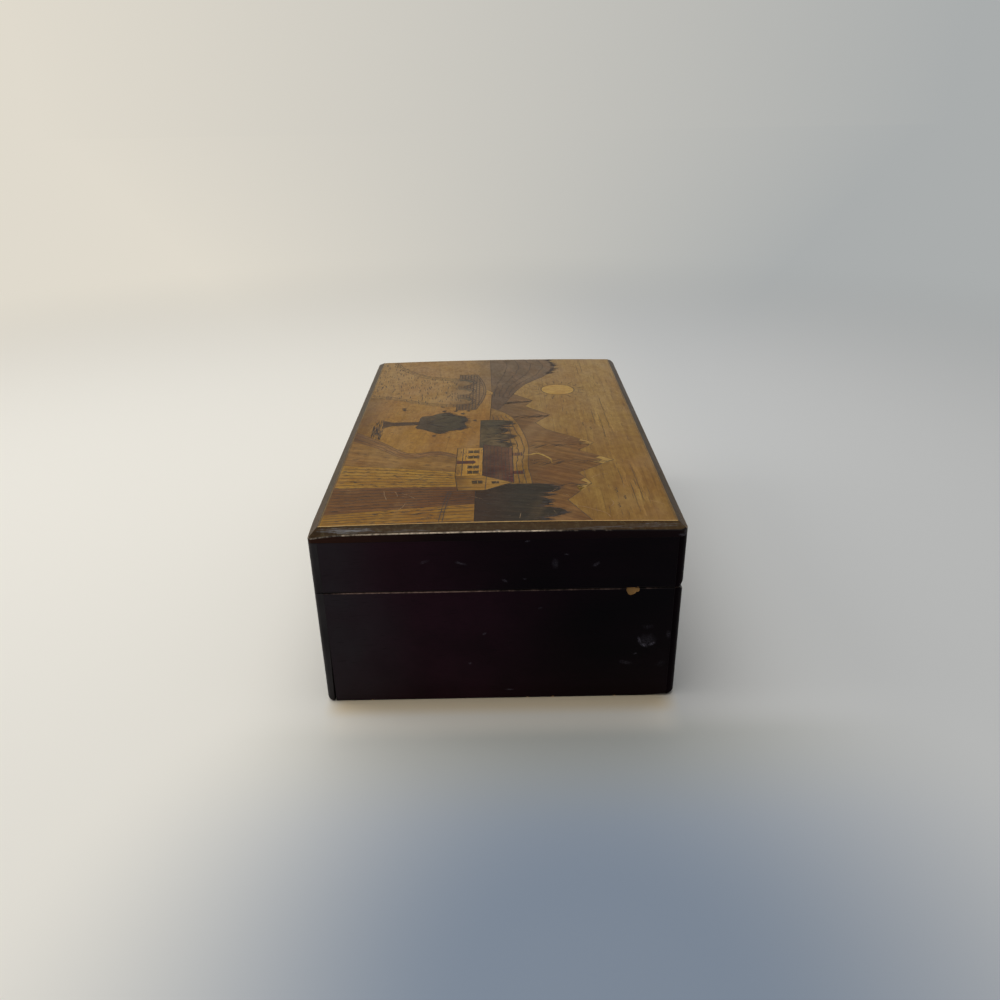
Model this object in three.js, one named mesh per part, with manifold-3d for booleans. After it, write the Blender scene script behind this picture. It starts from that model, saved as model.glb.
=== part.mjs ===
// A hinged wooden jewelry box with a marquetry picture on its lid.
//
// Frame: millimetres, +Z up. X runs along the box, Y runs from the front (-Y) to the hinge side (+Y), and
// the origin is the middle of the underside. The picture is upright for someone who stands at the front.
//
// The base and the lid are each four boards. The long boards run the full length and are rabbeted at both
// ends, so that only a thin lip covers the end grain of the short boards. The lid's top is a plywood core
// edged with four mitred, bevelled strips. A pale stringing line and the marquetry veneers lie on the core.
// Two brass butt hinges sit in the back edges, with their pins on the apex of a shallow V groove. The two
// sides of the groove meet when the lid is open, and stop it.

import * as THREE from "three";
import { mergeVertices } from "three/addons/utils/BufferGeometryUtils.js";
import Module from "manifold-3d";

const wasm = await Module();
wasm.setup();

// Box
const LENGTH = 200; // along X
const WIDTH = 129; // along Y
const BASE_HEIGHT = 47; // underside to the base's rim
const SEAM_GAP = 0.3; // between the base's rim and the closed lid
const LID_WALL_HEIGHT = 19.7; // of the lid's four boards
const WALL = 7; // thickness of the eight boards
const LIP = 3.2; // what the rabbet leaves of a long board, over the short board's end grain
const FRONT_CORNER_RADIUS = 1.6; // of the vertical corners at the front
const BACK_CORNER_RADIUS = 3.2; // of the vertical corners at the hinge side, which are worn rounder
const CORNER_SEGMENTS = 8; // facets of a rounded corner
const GLUE = 0.05; // glue line between pieces that lie on each other

// Bottom and lining
const BOTTOM_THICKNESS = 3;
const BOTTOM_RECESS = 0.5; // the bottom panel's underside above the table
const BOTTOM_REBATE = 3; // how far the bottom panel runs into the boards
const REBATE_CLEARANCE = 0.1;
const LINING_THICKNESS = 1.2;
const LINING_DROP = 2.5; // of the wall lining's top edge below the rim
const PAD_CLEARANCE = 0.3; // round both pads
const FLOOR_PAD_THICKNESS = 2.4;
const LID_PAD_THICKNESS = 2.6;
const PAD_CROWN = 0.8; // how much the middle of a pad swells
const PAD_STEPS = 8; // facets of a pad along each side

// Lid top
const EDGE_HEIGHT = 2.5; // upright part of the bevelled strips
const BEVEL_DROP = 1.9;
const STRIP_WIDTH = 3.2; // of the bevelled strips, and so of the bevel
const CROWN = 0.8; // rise of the lid's middle line over its long edges
const CROWN_FACETS = 12; // across the picture and its stringing
const VENEER = 0.6; // thickness of the marquetry and the stringing
const STRINGING_WIDTH = 0.5;

// Hinges
const HINGE_INSET = 38; // from each end of the box to the middle of the hinge near it
const HINGE_LENGTH = 22;
const GROOVE_DEPTH = 1.5; // of the V groove along the back, measured in from the back face
const GROOVE_RISE = 1.9; // height of each of its two sides
const LEAF_THICKNESS = 0.8;
const LEAF_SETBACK = 0.3; // of the leaf's edge from the board's inner face
const MORTISE_CLEARANCE = 0.1;
const BARREL_RADIUS = 1.2;
const BARREL_CLEARANCE = 0.3; // between the barrel and the wood
const KNUCKLE_LENGTH = 7.2; // of the middle knuckle, which is the lid leaf's
const KNUCKLE_GAP = 0.2;
const PIN_RADIUS = 0.55;
const PIN_CLEARANCE = 0.07;
const PIN_PROUD = 0.06; // of each pin end past the barrel
const SCREW_INSET = 4; // from each end of a leaf to the screw near it
const SCREW_RADIUS = 0.6;
const SCREW_HEAD_RADIUS = 1.15;
const SCREW_HEAD_DEPTH = 0.55;
const SCREW_LENGTH = 5;
const SCREW_TIP = 1.2;
const SCREW_CLEARANCE = 0.08;
const SLOT_WIDTH = 0.35;
const SLOT_DEPTH = 0.22;

// Places worked out from the sizes
const halfLength = LENGTH / 2;
const halfWidth = WIDTH / 2;
const innerHalfLength = halfLength - WALL;
const innerHalfWidth = halfWidth - WALL;
const lidBottom = BASE_HEIGHT + SEAM_GAP;
const lidWallTop = lidBottom + LID_WALL_HEIGHT;
const topBottom = lidWallTop + GLUE;
const arrisHeight = topBottom + EDGE_HEIGHT;
const topEdgeHeight = arrisHeight + BEVEL_DROP;
const coreHalfLength = halfLength - STRIP_WIDTH;
const coreHalfWidth = halfWidth - STRIP_WIDTH;
const pictureHalfLength = coreHalfLength - STRINGING_WIDTH;
const pictureHalfWidth = coreHalfWidth - STRINGING_WIDTH;
const bottomTop = BOTTOM_RECESS + BOTTOM_THICKNESS;
const pinY = halfWidth - GROOVE_DEPTH;
const pinZ = BASE_HEIGHT + SEAM_GAP / 2;
const barrelPocket = BARREL_RADIUS + BARREL_CLEARANCE;
const leafFront = innerHalfWidth + LEAF_SETBACK - pinY; // the leaf's edge, measured from the pin
const screwY = (leafFront - barrelPocket) / 2; // the middle of the leaf's flat part, from the pin
const above = topEdgeHeight + CROWN + 10; // a height over everything

// Solids

function toSolid(geometry) {
  const bare = new THREE.BufferGeometry();
  bare.setAttribute("position", geometry.getAttribute("position"));
  bare.setIndex(geometry.index);
  const merged = mergeVertices(bare, 1e-4);
  const corners = merged.index.array;
  const kept = [];
  for (let i = 0; i < corners.length; i += 3) {
    const [a, b, c] = [corners[i], corners[i + 1], corners[i + 2]];
    if (a !== b && b !== c && c !== a) kept.push(a, b, c);
  }
  const mesh = new wasm.Mesh({
    numProp: 3,
    vertProperties: merged.attributes.position.array,
    triVerts: new Uint32Array(kept),
  });
  return new wasm.Manifold(mesh);
}

function toGeometry(solid) {
  const mesh = solid.getMesh();
  const geometry = new THREE.BufferGeometry();
  const positions = new Float32Array(mesh.numVert * 3);
  for (let i = 0; i < mesh.numVert; i++) {
    for (let k = 0; k < 3; k++) positions[3 * i + k] = mesh.vertProperties[mesh.numProp * i + k];
  }
  geometry.setAttribute("position", new THREE.BufferAttribute(positions, 3));
  geometry.setIndex(new THREE.BufferAttribute(new Uint32Array(mesh.triVerts), 1));
  const shaded = geometry.toNonIndexed();
  shaded.computeVertexNormals();
  return shaded;
}

// An upright block between two corners.
function block(x0, x1, y0, y1, z0, z1) {
  const geometry = new THREE.BoxGeometry(1, 1, 1);
  const p = geometry.getAttribute("position");
  for (let i = 0; i < p.count; i++) {
    p.setXYZ(i, p.getX(i) > 0 ? x1 : x0, p.getY(i) > 0 ? y1 : y0, p.getZ(i) > 0 ? z1 : z0);
  }
  return toSolid(geometry);
}

// A block that is centred on X and Y.
function centredBlock(halfX, halfY, z0, z1) {
  return block(-halfX, halfX, -halfY, halfY, z0, z1);
}

// A shape or a list of points in XY, extruded upwards.
function prism(outline, z0, z1) {
  const isShape = outline instanceof THREE.Shape;
  const shape = isShape ? outline : new THREE.Shape(outline.map(([x, y]) => new THREE.Vector2(x, y)));
  const options = { depth: z1 - z0, bevelEnabled: false, curveSegments: CORNER_SEGMENTS };
  const geometry = new THREE.ExtrudeGeometry(shape, options);
  geometry.translate(0, 0, z0);
  return toSolid(geometry);
}

// A section in YZ, extruded along X.
function bar(section, x0, x1) {
  const shape = new THREE.Shape(section.map(([y, z]) => new THREE.Vector2(y, z)));
  const geometry = new THREE.ExtrudeGeometry(shape, { depth: x1 - x0, bevelEnabled: false });
  const p = geometry.getAttribute("position");
  for (let i = 0; i < p.count; i++) p.setXYZ(i, p.getZ(i) + x0, p.getX(i), p.getY(i));
  return toSolid(geometry);
}

// A round rod along X, about the line y = z = 0.
function rod(radius, x0, x1) {
  const geometry = new THREE.CylinderGeometry(radius, radius, x1 - x0, 24);
  geometry.rotateZ(Math.PI / 2);
  geometry.translate((x0 + x1) / 2, 0, 0);
  return toSolid(geometry);
}

// The solid between two height functions over a grid. Each grid cell is split along the diagonal that
// points away from the middle, so that two bevels meet in a straight mitre.
function heightSolid(xs, ys, low, high) {
  const rows = xs.length;
  const columns = ys.length;
  const positions = [];
  for (const height of [low, high]) {
    for (const x of xs) for (const y of ys) positions.push(x, y, height(x, y));
  }
  const at = (level, i, j) => level * rows * columns + i * columns + j;
  const triangles = [];
  const quad = (a, b, c, d) => triangles.push(a, b, c, a, c, d);
  for (let i = 0; i < rows - 1; i++) {
    for (let j = 0; j < columns - 1; j++) {
      const outward = (xs[i] + xs[i + 1]) * (ys[j] + ys[j + 1]) >= 0;
      const ring = [[i, j], [i + 1, j], [i + 1, j + 1], [i, j + 1]];
      if (!outward) ring.push(ring.shift());
      const top = ring.map(([a, b]) => at(1, a, b));
      const bottom = ring.map(([a, b]) => at(0, a, b)).reverse();
      if (!outward) bottom.push(bottom.shift());
      quad(...top);
      triangles.push(bottom[0], bottom[1], bottom[2], bottom[0], bottom[2], bottom[3]);
    }
  }
  for (let i = 0; i < rows - 1; i++) {
    quad(at(0, i, 0), at(0, i + 1, 0), at(1, i + 1, 0), at(1, i, 0));
    const last = columns - 1;
    quad(at(0, i + 1, last), at(0, i, last), at(1, i, last), at(1, i + 1, last));
  }
  for (let j = 0; j < columns - 1; j++) {
    quad(at(0, 0, j + 1), at(0, 0, j), at(1, 0, j), at(1, 0, j + 1));
    quad(at(0, rows - 1, j), at(0, rows - 1, j + 1), at(1, rows - 1, j + 1), at(1, rows - 1, j));
  }
  const geometry = new THREE.BufferGeometry();
  geometry.setAttribute("position", new THREE.Float32BufferAttribute(positions, 3));
  geometry.setIndex(triangles);
  return toSolid(geometry);
}

function steps(from, to, count) {
  return Array.from({ length: count + 1 }, (_, i) => from + ((to - from) * i) / count);
}

// The plan of the box, with its rounded corners.
function plan() {
  const [a, b, f, r] = [halfLength, halfWidth, FRONT_CORNER_RADIUS, BACK_CORNER_RADIUS];
  const shape = new THREE.Shape();
  shape.moveTo(-a + f, -b);
  shape.lineTo(a - f, -b);
  shape.absarc(a - f, -b + f, f, -Math.PI / 2, 0, false);
  shape.lineTo(a, b - r);
  shape.absarc(a - r, b - r, r, 0, Math.PI / 2, false);
  shape.lineTo(-a + r, b);
  shape.absarc(-a + r, b - r, r, Math.PI / 2, Math.PI, false);
  shape.lineTo(-a, -b + f);
  shape.absarc(-a + f, -b + f, f, Math.PI, 1.5 * Math.PI, false);
  return shape;
}

// Boards

const planPrism = prism(plan(), -1, above);

// A long board: side is -1 at the front and 1 at the back.
function longBoard(side, z0, z1) {
  const y = (inset) => side * (halfWidth - inset);
  const between = (a, b, x0, x1) => block(x0, x1, Math.min(a, b), Math.max(a, b), z0, z1);
  return between(y(0), y(WALL), -halfLength, halfLength)
    .subtract(between(y(LIP), y(WALL), -halfLength, -innerHalfLength))
    .subtract(between(y(LIP), y(WALL), innerHalfLength, halfLength))
    .intersect(planPrism);
}

// A short board, held in the rabbets of the long ones: side is -1 at the left and 1 at the right.
function endBoard(side, z0, z1) {
  const [a, b] = side < 0 ? [-halfLength, -innerHalfLength] : [innerHalfLength, halfLength];
  return block(a, b, -halfWidth + LIP, halfWidth - LIP, z0, z1);
}

// One side of the V groove along the back: away is 1 for the lid's side and -1 for the base's.
function grooveCutter(edgeZ, away) {
  const reach = 2; // the cutter runs this many times the groove's own size past the back face
  const section = [
    [pinY, edgeZ],
    [pinY + reach * GROOVE_DEPTH, edgeZ + away * reach * GROOVE_RISE],
    [pinY + reach * GROOVE_DEPTH, edgeZ - away],
    [pinY, edgeZ - away],
  ];
  return bar(away > 0 ? section.reverse() : section, -halfLength - 1, halfLength + 1);
}

const hingeXs = [-halfLength + HINGE_INSET, halfLength - HINGE_INSET];
const screwXs = [SCREW_INSET - HINGE_LENGTH / 2, HINGE_LENGTH / 2 - SCREW_INSET];

// What the hinges take out of a back board whose edge is at edgeZ: mortises for the leaves, pockets for the
// barrels, and screw holes.
function hingeCutter(edgeZ, away) {
  const reachX = HINGE_LENGTH / 2 + MORTISE_CLEARANCE + PIN_PROUD;
  const mortiseFloor = edgeZ + away * (LEAF_THICKNESS + MORTISE_CLEARANCE);
  const pocketFloor = pinZ + away * barrelPocket;
  const opening = edgeZ - away;
  const cutters = [];
  for (const x of hingeXs) {
    const slab = (y0, y1, floor) =>
      block(x - reachX, x + reachX, y0, y1, Math.min(floor, opening), Math.max(floor, opening));
    cutters.push(slab(innerHalfWidth - 1, pinY, mortiseFloor));
    cutters.push(slab(pinY - barrelPocket, halfWidth + 1, pocketFloor));
    for (const dx of screwXs) {
      const hole = screwSolid(SCREW_CLEARANCE).rotate([away > 0 ? 180 : 0, 0, 0]);
      cutters.push(hole.translate([x + dx, pinY + screwY, edgeZ]));
    }
  }
  return cutters.reduce((all, one) => all.add(one));
}

const bottomCutter = centredBlock(
  innerHalfLength + BOTTOM_REBATE + REBATE_CLEARANCE,
  innerHalfWidth + BOTTOM_REBATE + REBATE_CLEARANCE,
  -1,
  bottomTop + GLUE,
);

function baseBoards() {
  const raw = {
    base_front_board: longBoard(-1, 0, BASE_HEIGHT),
    base_back_board: longBoard(1, 0, BASE_HEIGHT)
      .subtract(grooveCutter(BASE_HEIGHT, -1))
      .subtract(hingeCutter(BASE_HEIGHT, -1)),
    base_left_board: endBoard(-1, 0, BASE_HEIGHT),
    base_right_board: endBoard(1, 0, BASE_HEIGHT),
  };
  return Object.entries(raw).map(([name, solid]) => [name, solid.subtract(bottomCutter)]);
}

function lidBoards() {
  return Object.entries({
    lid_front_board: longBoard(-1, lidBottom, lidWallTop),
    lid_back_board: longBoard(1, lidBottom, lidWallTop)
      .subtract(grooveCutter(lidBottom, 1))
      .subtract(hingeCutter(lidBottom, 1)),
    lid_left_board: endBoard(-1, lidBottom, lidWallTop),
    lid_right_board: endBoard(1, lidBottom, lidWallTop),
  });
}

// Bottom panel, lining and pads

function bottomPanel() {
  return centredBlock(
    innerHalfLength + BOTTOM_REBATE,
    innerHalfWidth + BOTTOM_REBATE,
    BOTTOM_RECESS,
    bottomTop,
  );
}

function wallLinings() {
  const [a, b, t] = [innerHalfLength - GLUE, innerHalfWidth - GLUE, LINING_THICKNESS];
  const [z0, z1] = [bottomTop + GLUE, BASE_HEIGHT - LINING_DROP];
  return [
    ["lining_front", block(-a, a, -b, -b + t, z0, z1)],
    ["lining_back", block(-a, a, b - t, b, z0, z1)],
    ["lining_left", block(-a, -a + t, -b + t + GLUE, b - t - GLUE, z0, z1)],
    ["lining_right", block(a - t, a, -b + t + GLUE, b - t - GLUE, z0, z1)],
  ];
}

// A pad with one swollen face: facing is 1 where that face looks up and -1 where it looks down.
function pad(halfX, halfY, flatZ, thickness, facing) {
  const swell = (x, y) => PAD_CROWN * (1 - (x / halfX) ** 4) * (1 - (y / halfY) ** 4);
  const flat = () => flatZ;
  const swollen = (x, y) => flatZ + facing * (thickness + swell(x, y));
  const xs = steps(-halfX, halfX, PAD_STEPS);
  const ys = steps(-halfY, halfY, PAD_STEPS);
  return facing > 0 ? heightSolid(xs, ys, flat, swollen) : heightSolid(xs, ys, swollen, flat);
}

function floorPad() {
  const inset = GLUE + LINING_THICKNESS + PAD_CLEARANCE;
  return pad(innerHalfLength - inset, innerHalfWidth - inset, bottomTop + GLUE, FLOOR_PAD_THICKNESS, 1);
}

function lidPad() {
  const [a, b] = [innerHalfLength - PAD_CLEARANCE, innerHalfWidth - PAD_CLEARANCE];
  return pad(a, b, lidWallTop, LID_PAD_THICKNESS, -1);
}

// Lid top

const crownAt = (y) => CROWN * (1 - (y / halfWidth) ** 2);
const crownYs = steps(-coreHalfWidth, coreHalfWidth, CROWN_FACETS);

// Everything under the bevelled, crowned top face.
function underTopFace() {
  const xs = [-halfLength, -coreHalfLength, coreHalfLength, halfLength];
  const ys = [-halfWidth, ...crownYs, halfWidth];
  const top = (x, y) => {
    const onBevel = Math.abs(x) > coreHalfLength || Math.abs(y) > coreHalfWidth;
    return (onBevel ? arrisHeight : topEdgeHeight) + crownAt(y);
  };
  return heightSolid(xs, ys, () => topBottom, top);
}

// The layer between two depths under the crowned face, inside a rectangle.
function crownedLayer(halfX, halfY, depthLow, depthHigh) {
  const xs = [-halfX, halfX];
  const ys = [-halfY, ...crownYs.filter((y) => Math.abs(y) < halfY - 1e-6), halfY];
  const low = depthLow === null ? () => topBottom : (x, y) => topEdgeHeight + crownAt(y) - depthLow;
  return heightSolid(xs, ys, low, (x, y) => topEdgeHeight + crownAt(y) - depthHigh);
}

// The four mitred quarters of a frame, as prisms: [name, prism] for front, back, left and right.
function mitreQuarters(depth) {
  const [a, b, c, d] = [halfLength + 1, halfWidth + 1, halfLength - depth, halfWidth - depth];
  const low = topBottom - 1;
  return [
    ["front", prism([[-a, -b], [a, -b], [c, -d], [-c, -d]], low, above)],
    ["back", prism([[a, b], [-a, b], [-c, d], [c, d]], low, above)],
    ["left", prism([[-a, b], [-a, -b], [-c, -d], [-c, d]], low, above)],
    ["right", prism([[a, -b], [a, b], [c, d], [c, -d]], low, above)],
  ];
}

function topCore() {
  return crownedLayer(coreHalfLength - GLUE, coreHalfWidth - GLUE, null, VENEER + GLUE);
}

function edgeStrips() {
  const ring = underTopFace()
    .intersect(planPrism)
    .subtract(centredBlock(coreHalfLength, coreHalfWidth, topBottom - 1, above));
  return mitreQuarters(STRIP_WIDTH + 1).map(([name, quarter]) => [
    "edge_strip_" + name,
    ring.intersect(quarter),
  ]);
}

function stringing() {
  const ring = crownedLayer(coreHalfLength - GLUE, coreHalfWidth - GLUE, VENEER, 0).subtract(
    centredBlock(pictureHalfLength, pictureHalfWidth, topBottom, above),
  );
  return mitreQuarters(STRIP_WIDTH + STRINGING_WIDTH + 1).map(([name, quarter]) => [
    "stringing_" + name,
    ring.intersect(quarter),
  ]);
}

// Marquetry: a river valley with a stone bridge, a farmhouse, round trees, hills and striped fields.
// Outlines are listed from the back of the view to the front, and each one is cut out of those behind it.
// They are drawn on a grid that counts steps from the middle of the picture and is stretched to fill it.
// They run past its last step, to be trimmed.

const gridSteps = [96, 60.5];
const [edgeX, edgeY] = gridSteps.map((count) => count + 2);

// A smooth line through a few points.
function smooth(points, segments = 16) {
  const curve = new THREE.SplineCurve(points.map(([x, y]) => new THREE.Vector2(x, y)));
  return curve.getPoints(segments).map((p) => [p.x, p.y]);
}

function disc(x, y, radius) {
  const angles = steps(0, 2 * Math.PI, 28).slice(1);
  return angles.map((a) => [x + radius * Math.cos(a), y + radius * Math.sin(a)]);
}

// A row of round trees that stand close together, with crowns of varying width and height.
function treeRow(x0, x1, count, ground, valley, low, high) {
  const sideOf = (i) => x0 + ((x1 - x0) * (i + (i % count ? 0.3 * Math.sin(2.1 * i) : 0))) / count;
  const outline = [[x0, ground], [x0, valley]];
  for (let i = 0; i < count; i++) {
    const middle = (sideOf(i) + sideOf(i + 1)) / 2;
    const half = (sideOf(i + 1) - sideOf(i)) / 2;
    const tall = low + (high - low) * (0.5 + 0.5 * Math.sin(2.4 * i + 0.9)) - valley;
    for (const a of steps(Math.PI, 0, 8).slice(1)) {
      outline.push([middle + half * Math.cos(a), valley + tall * Math.sin(a)]);
    }
  }
  outline.push([x1, ground]);
  return outline;
}

// A single tree's crown, with a lobed edge.
function lobedCrown(x, y, radius) {
  return steps(0, 2 * Math.PI, 36).slice(1).map((a) => {
    const r = radius * (1 + 0.09 * Math.cos(6 * a + 0.5) + 0.04 * Math.cos(11 * a));
    return [x + r * Math.cos(a), y + 0.92 * r * Math.sin(a)];
  });
}

// The bridge: a humped deck over three round arches.
function bridge() {
  const [leftEnd, rightEnd, foot, spring, radius] = [-70, -16, -18.5, -16.5, 5];
  const deck = smooth([[leftEnd, -9.5], [-56, -6.2], [-43, -5], [-30, -6.2], [rightEnd, -9.5]]).reverse();
  const outline = [[leftEnd, foot]];
  for (const x of [-57, -43, -29]) {
    outline.push([x - radius, foot]);
    for (const a of steps(Math.PI, 0, 10)) {
      outline.push([x + radius * Math.cos(a), spring + radius * Math.sin(a)]);
    }
    outline.push([x + radius, foot]);
  }
  outline.push([rightEnd, foot], ...deck);
  return outline;
}

// A band that follows a centre line of [x, y, half width].
function band(line) {
  const leftSide = smooth(line.map(([x, y, w]) => [x - w, y]));
  const rightSide = smooth(line.map(([x, y, w]) => [x + w, y]));
  return [...leftSide, ...rightSide.reverse()];
}

const pathLine = [[43, -11, 1.3], [35, -23, 1.9], [37, -36, 2.8], [24, -49, 3.9], [12, -edgeY, 5]];
const pathMiddle = smooth(pathLine.map(([x, y]) => [x, y]));
const fieldTop = -6;
const fieldSides = [
  [[43, fieldTop], ...pathMiddle],
  [[56, fieldTop], [44, -edgeY]],
  [[68, fieldTop], [66, -edgeY]],
  [[82, fieldTop], [88, -edgeY]],
  [[edgeX, fieldTop], [edgeX, -edgeY]],
];
const field = (i) => [...fieldSides[i - 1], ...fieldSides[i].slice().reverse()];

const drawing = {
  sky: [[-edgeX, -4], [edgeX, -4], [edgeX, edgeY], [-edgeX, edgeY]],
  sun: disc(-44, 30, 8),
  mountains: [
    [-40, -6], [-40, 6], [-28, 17], [-20, 13], [-8, 24], [2, 17], [10, 21], [26, 40], [34, 33], [44, 46],
    [56, 31], [66, 35], [80, 25], [edgeX, 33], [edgeX, -6],
  ],
  left_hill: [
    [-edgeX, -6], ...smooth([[-edgeX, 27], [-84, 31], [-68, 26], [-52, 14], [-34, 7], [-16, 1], [-6, -6]]),
  ],
  middle_hill: [
    [-22, -9], ...smooth([[-22, -6], [-8, 6], [12, 11], [30, 13], [50, 12], [70, 13], [edgeX, 9]]),
    [edgeX, -9],
  ],
  meadow_left: [[-edgeX, -3], [-39, -2], [-41, -6], [-43, -10], [-43, -edgeY], [-edgeX, -edgeY]],
  meadow_middle: [[-43, -edgeY], [-43, -10], [-41, -6], [-39, -2], [40, -4], [43, -8], ...pathMiddle],
  field_1: field(1),
  field_2: field(2),
  field_3: field(3),
  field_4: field(4),
  river_far: [
    ...smooth([[-52, -10], [-46, -5], [-41, -1.5]], 6), ...smooth([[-37, -1.5], [-38, -5], [-34, -10]], 6),
  ],
  river_near: [
    ...smooth([[-64, -10], [-64, -22], [-70, -36], [-84, -48], [-edgeX, -54]]), [-edgeX, -edgeY],
    ...smooth([[-38, -edgeY], [-34, -50], [-26, -36], [-21, -22], [-21, -10]]),
  ],
  path: band(pathLine),
  trees_row: treeRow(-2, 31, 6, -7, 0, 4, 7.5),
  trees_by_house: treeRow(66, edgeX, 5, -8, 14, 17, 24),
  bridge: bridge(),
  house_gable: [[58, -16], [71, -14.5], [71, -4.5], [64.5, 5.5], [58, -4]],
  house_wall: [[30, -16], [58, -16], [58, -4], [30, -4]],
  house_roof: [[26.5, -5.5], [58, -5.5], [64.8, 6.2], [31, 6.2]],
  oak_trunk: [[-1.6, -30], [1.6, -30], [2.2, -46], [5, -50], [-4.5, -50], [-2.2, -46]],
  oak_crown: lobedCrown(0, -24, 12),
};

function marquetry() {
  const scaleX = pictureHalfLength / gridSteps[0];
  const scaleY = pictureHalfWidth / gridSteps[1];
  const layer = crownedLayer(pictureHalfLength, pictureHalfWidth, VENEER, 0);
  const made = [];
  let inFront = null;
  for (const [name, outline] of Object.entries(drawing).reverse()) {
    const whole = prism(outline.map(([x, y]) => [x * scaleX, y * scaleY]), topBottom, above);
    const shown = inFront ? whole.subtract(inFront) : whole;
    made.push(["veneer_" + name, shown.intersect(layer)]);
    inFront = inFront ? inFront.add(whole) : whole;
  }
  return made.reverse();
}

// Hinges: modelled about the pin, which lies along X through the hinge's middle

// A countersunk screw with its head's face at z = 0, pointing down. With grow, the hole that it needs.
function screwSolid(grow = 0) {
  const shank = SCREW_RADIUS + grow;
  const profile = [
    [0, -SCREW_LENGTH - grow],
    [shank, -SCREW_LENGTH + SCREW_TIP - grow],
    [shank, -SCREW_HEAD_DEPTH - grow],
    [SCREW_HEAD_RADIUS + grow, 0],
  ];
  if (grow) profile.push([SCREW_HEAD_RADIUS + grow, 1]);
  profile.push([0, profile[profile.length - 1][1]]);
  const geometry = new THREE.LatheGeometry(profile.map(([r, z]) => new THREE.Vector2(r, z)), 16);
  geometry.rotateX(Math.PI / 2);
  return toSolid(geometry);
}

function slottedScrew() {
  const reach = SCREW_HEAD_RADIUS + 1;
  return screwSolid().subtract(block(-reach, reach, -SLOT_WIDTH / 2, SLOT_WIDTH / 2, -SLOT_DEPTH, 1));
}

// A leaf: away is 1 for the lid's leaf, with the middle knuckle, and -1 for the base's, with the outer two.
function hingeLeaf(away) {
  const half = HINGE_LENGTH / 2;
  const face = (away * SEAM_GAP) / 2;
  const back = face + away * LEAF_THICKNESS;
  const [low, high] = [Math.min(face, back), Math.max(face, back)];
  const own = KNUCKLE_LENGTH / 2;
  const other = own + KNUCKLE_GAP;
  let leaf = block(-half, half, leafFront, 0, low, high);
  const slot = (x0, x1) => block(x0, x1, -barrelPocket, 1, low - 1, high + 1);
  if (away > 0) {
    leaf = leaf.subtract(slot(-half - 1, -own)).subtract(slot(own, half + 1));
    leaf = leaf.add(rod(BARREL_RADIUS, -own, own));
  } else {
    leaf = leaf.subtract(slot(-other, other));
    leaf = leaf.add(rod(BARREL_RADIUS, -half, -other)).add(rod(BARREL_RADIUS, other, half));
  }
  leaf = leaf.subtract(rod(PIN_RADIUS + PIN_CLEARANCE, -half - 1, half + 1));
  const hole = screwSolid(SCREW_CLEARANCE).rotate([away > 0 ? 180 : 0, 0, 0]);
  for (const x of screwXs) leaf = leaf.subtract(hole.translate([x, screwY, face]));
  return leaf;
}

function hingePin() {
  const half = HINGE_LENGTH / 2 + PIN_PROUD;
  return rod(PIN_RADIUS, -half, half);
}

// Materials

function finish(color, roughness, metalness = 0) {
  return new THREE.MeshStandardMaterial({ color, roughness, metalness });
}

const stained = finish(0x22100e, 0.35);
const ebonised = finish(0x2a221c, 0.4);
const maple = finish(0xd9bd84, 0.45);
const plywood = finish(0xb08d5c, 0.7);
const velvet = finish(0x5a1220, 0.95);
const brass = finish(0xb58b3d, 0.35, 1);
const steel = finish(0x8d8a84, 0.4, 1);
const veneers = {
  sky: 0xa98540,
  sun: 0xd8b565,
  mountains: 0x7d5c38,
  left_hill: 0x4e2d25,
  middle_hill: 0x94702f,
  meadow_left: 0xa97f3c,
  meadow_middle: 0xa87a2c,
  field_1: 0x8a5c2c,
  field_2: 0xb98d3e,
  field_3: 0x5c3a26,
  field_4: 0xb08238,
  river_far: 0xc7a35a,
  river_near: 0xb48a3c,
  path: 0x8d5f36,
  trees_row: 0x2c2c22,
  trees_by_house: 0x25281f,
  bridge: 0x7a573a,
  house_gable: 0xb98f4a,
  house_wall: 0xd3ab55,
  house_roof: 0x6a3527,
  oak_trunk: 0x4a3020,
  oak_crown: 0x31331f,
};

// The box

const box = new THREE.Group();
box.name = "marquetry_jewelry_box";
const base = new THREE.Group();
base.name = "base";
const lidPivot = new THREE.Group(); // turn this about X to open the lid
lidPivot.name = "lid_pivot";
lidPivot.position.set(0, pinY, pinZ);
const lid = new THREE.Group();
lid.name = "lid";
lid.position.set(0, -pinY, -pinZ);
lidPivot.add(lid);
box.add(base, lidPivot);

function put(group, name, solid, material) {
  const mesh = new THREE.Mesh(toGeometry(solid), material);
  mesh.name = name;
  group.add(mesh);
  return mesh;
}

for (const [name, solid] of baseBoards()) put(base, name, solid, stained);
put(base, "bottom_panel", bottomPanel(), plywood);
for (const [name, solid] of wallLinings()) put(base, name, solid, velvet);
put(base, "floor_pad", floorPad(), velvet);

for (const [name, solid] of lidBoards()) put(lid, name, solid, stained);
put(lid, "lid_core", topCore(), plywood);
for (const [name, solid] of edgeStrips()) put(lid, name, solid, ebonised);
for (const [name, solid] of stringing()) put(lid, name, solid, maple);
for (const [name, solid] of marquetry()) {
  put(lid, name, solid, finish(veneers[name.replace("veneer_", "")], 0.45));
}
put(lid, "lid_pad", lidPad(), velvet);

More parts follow.
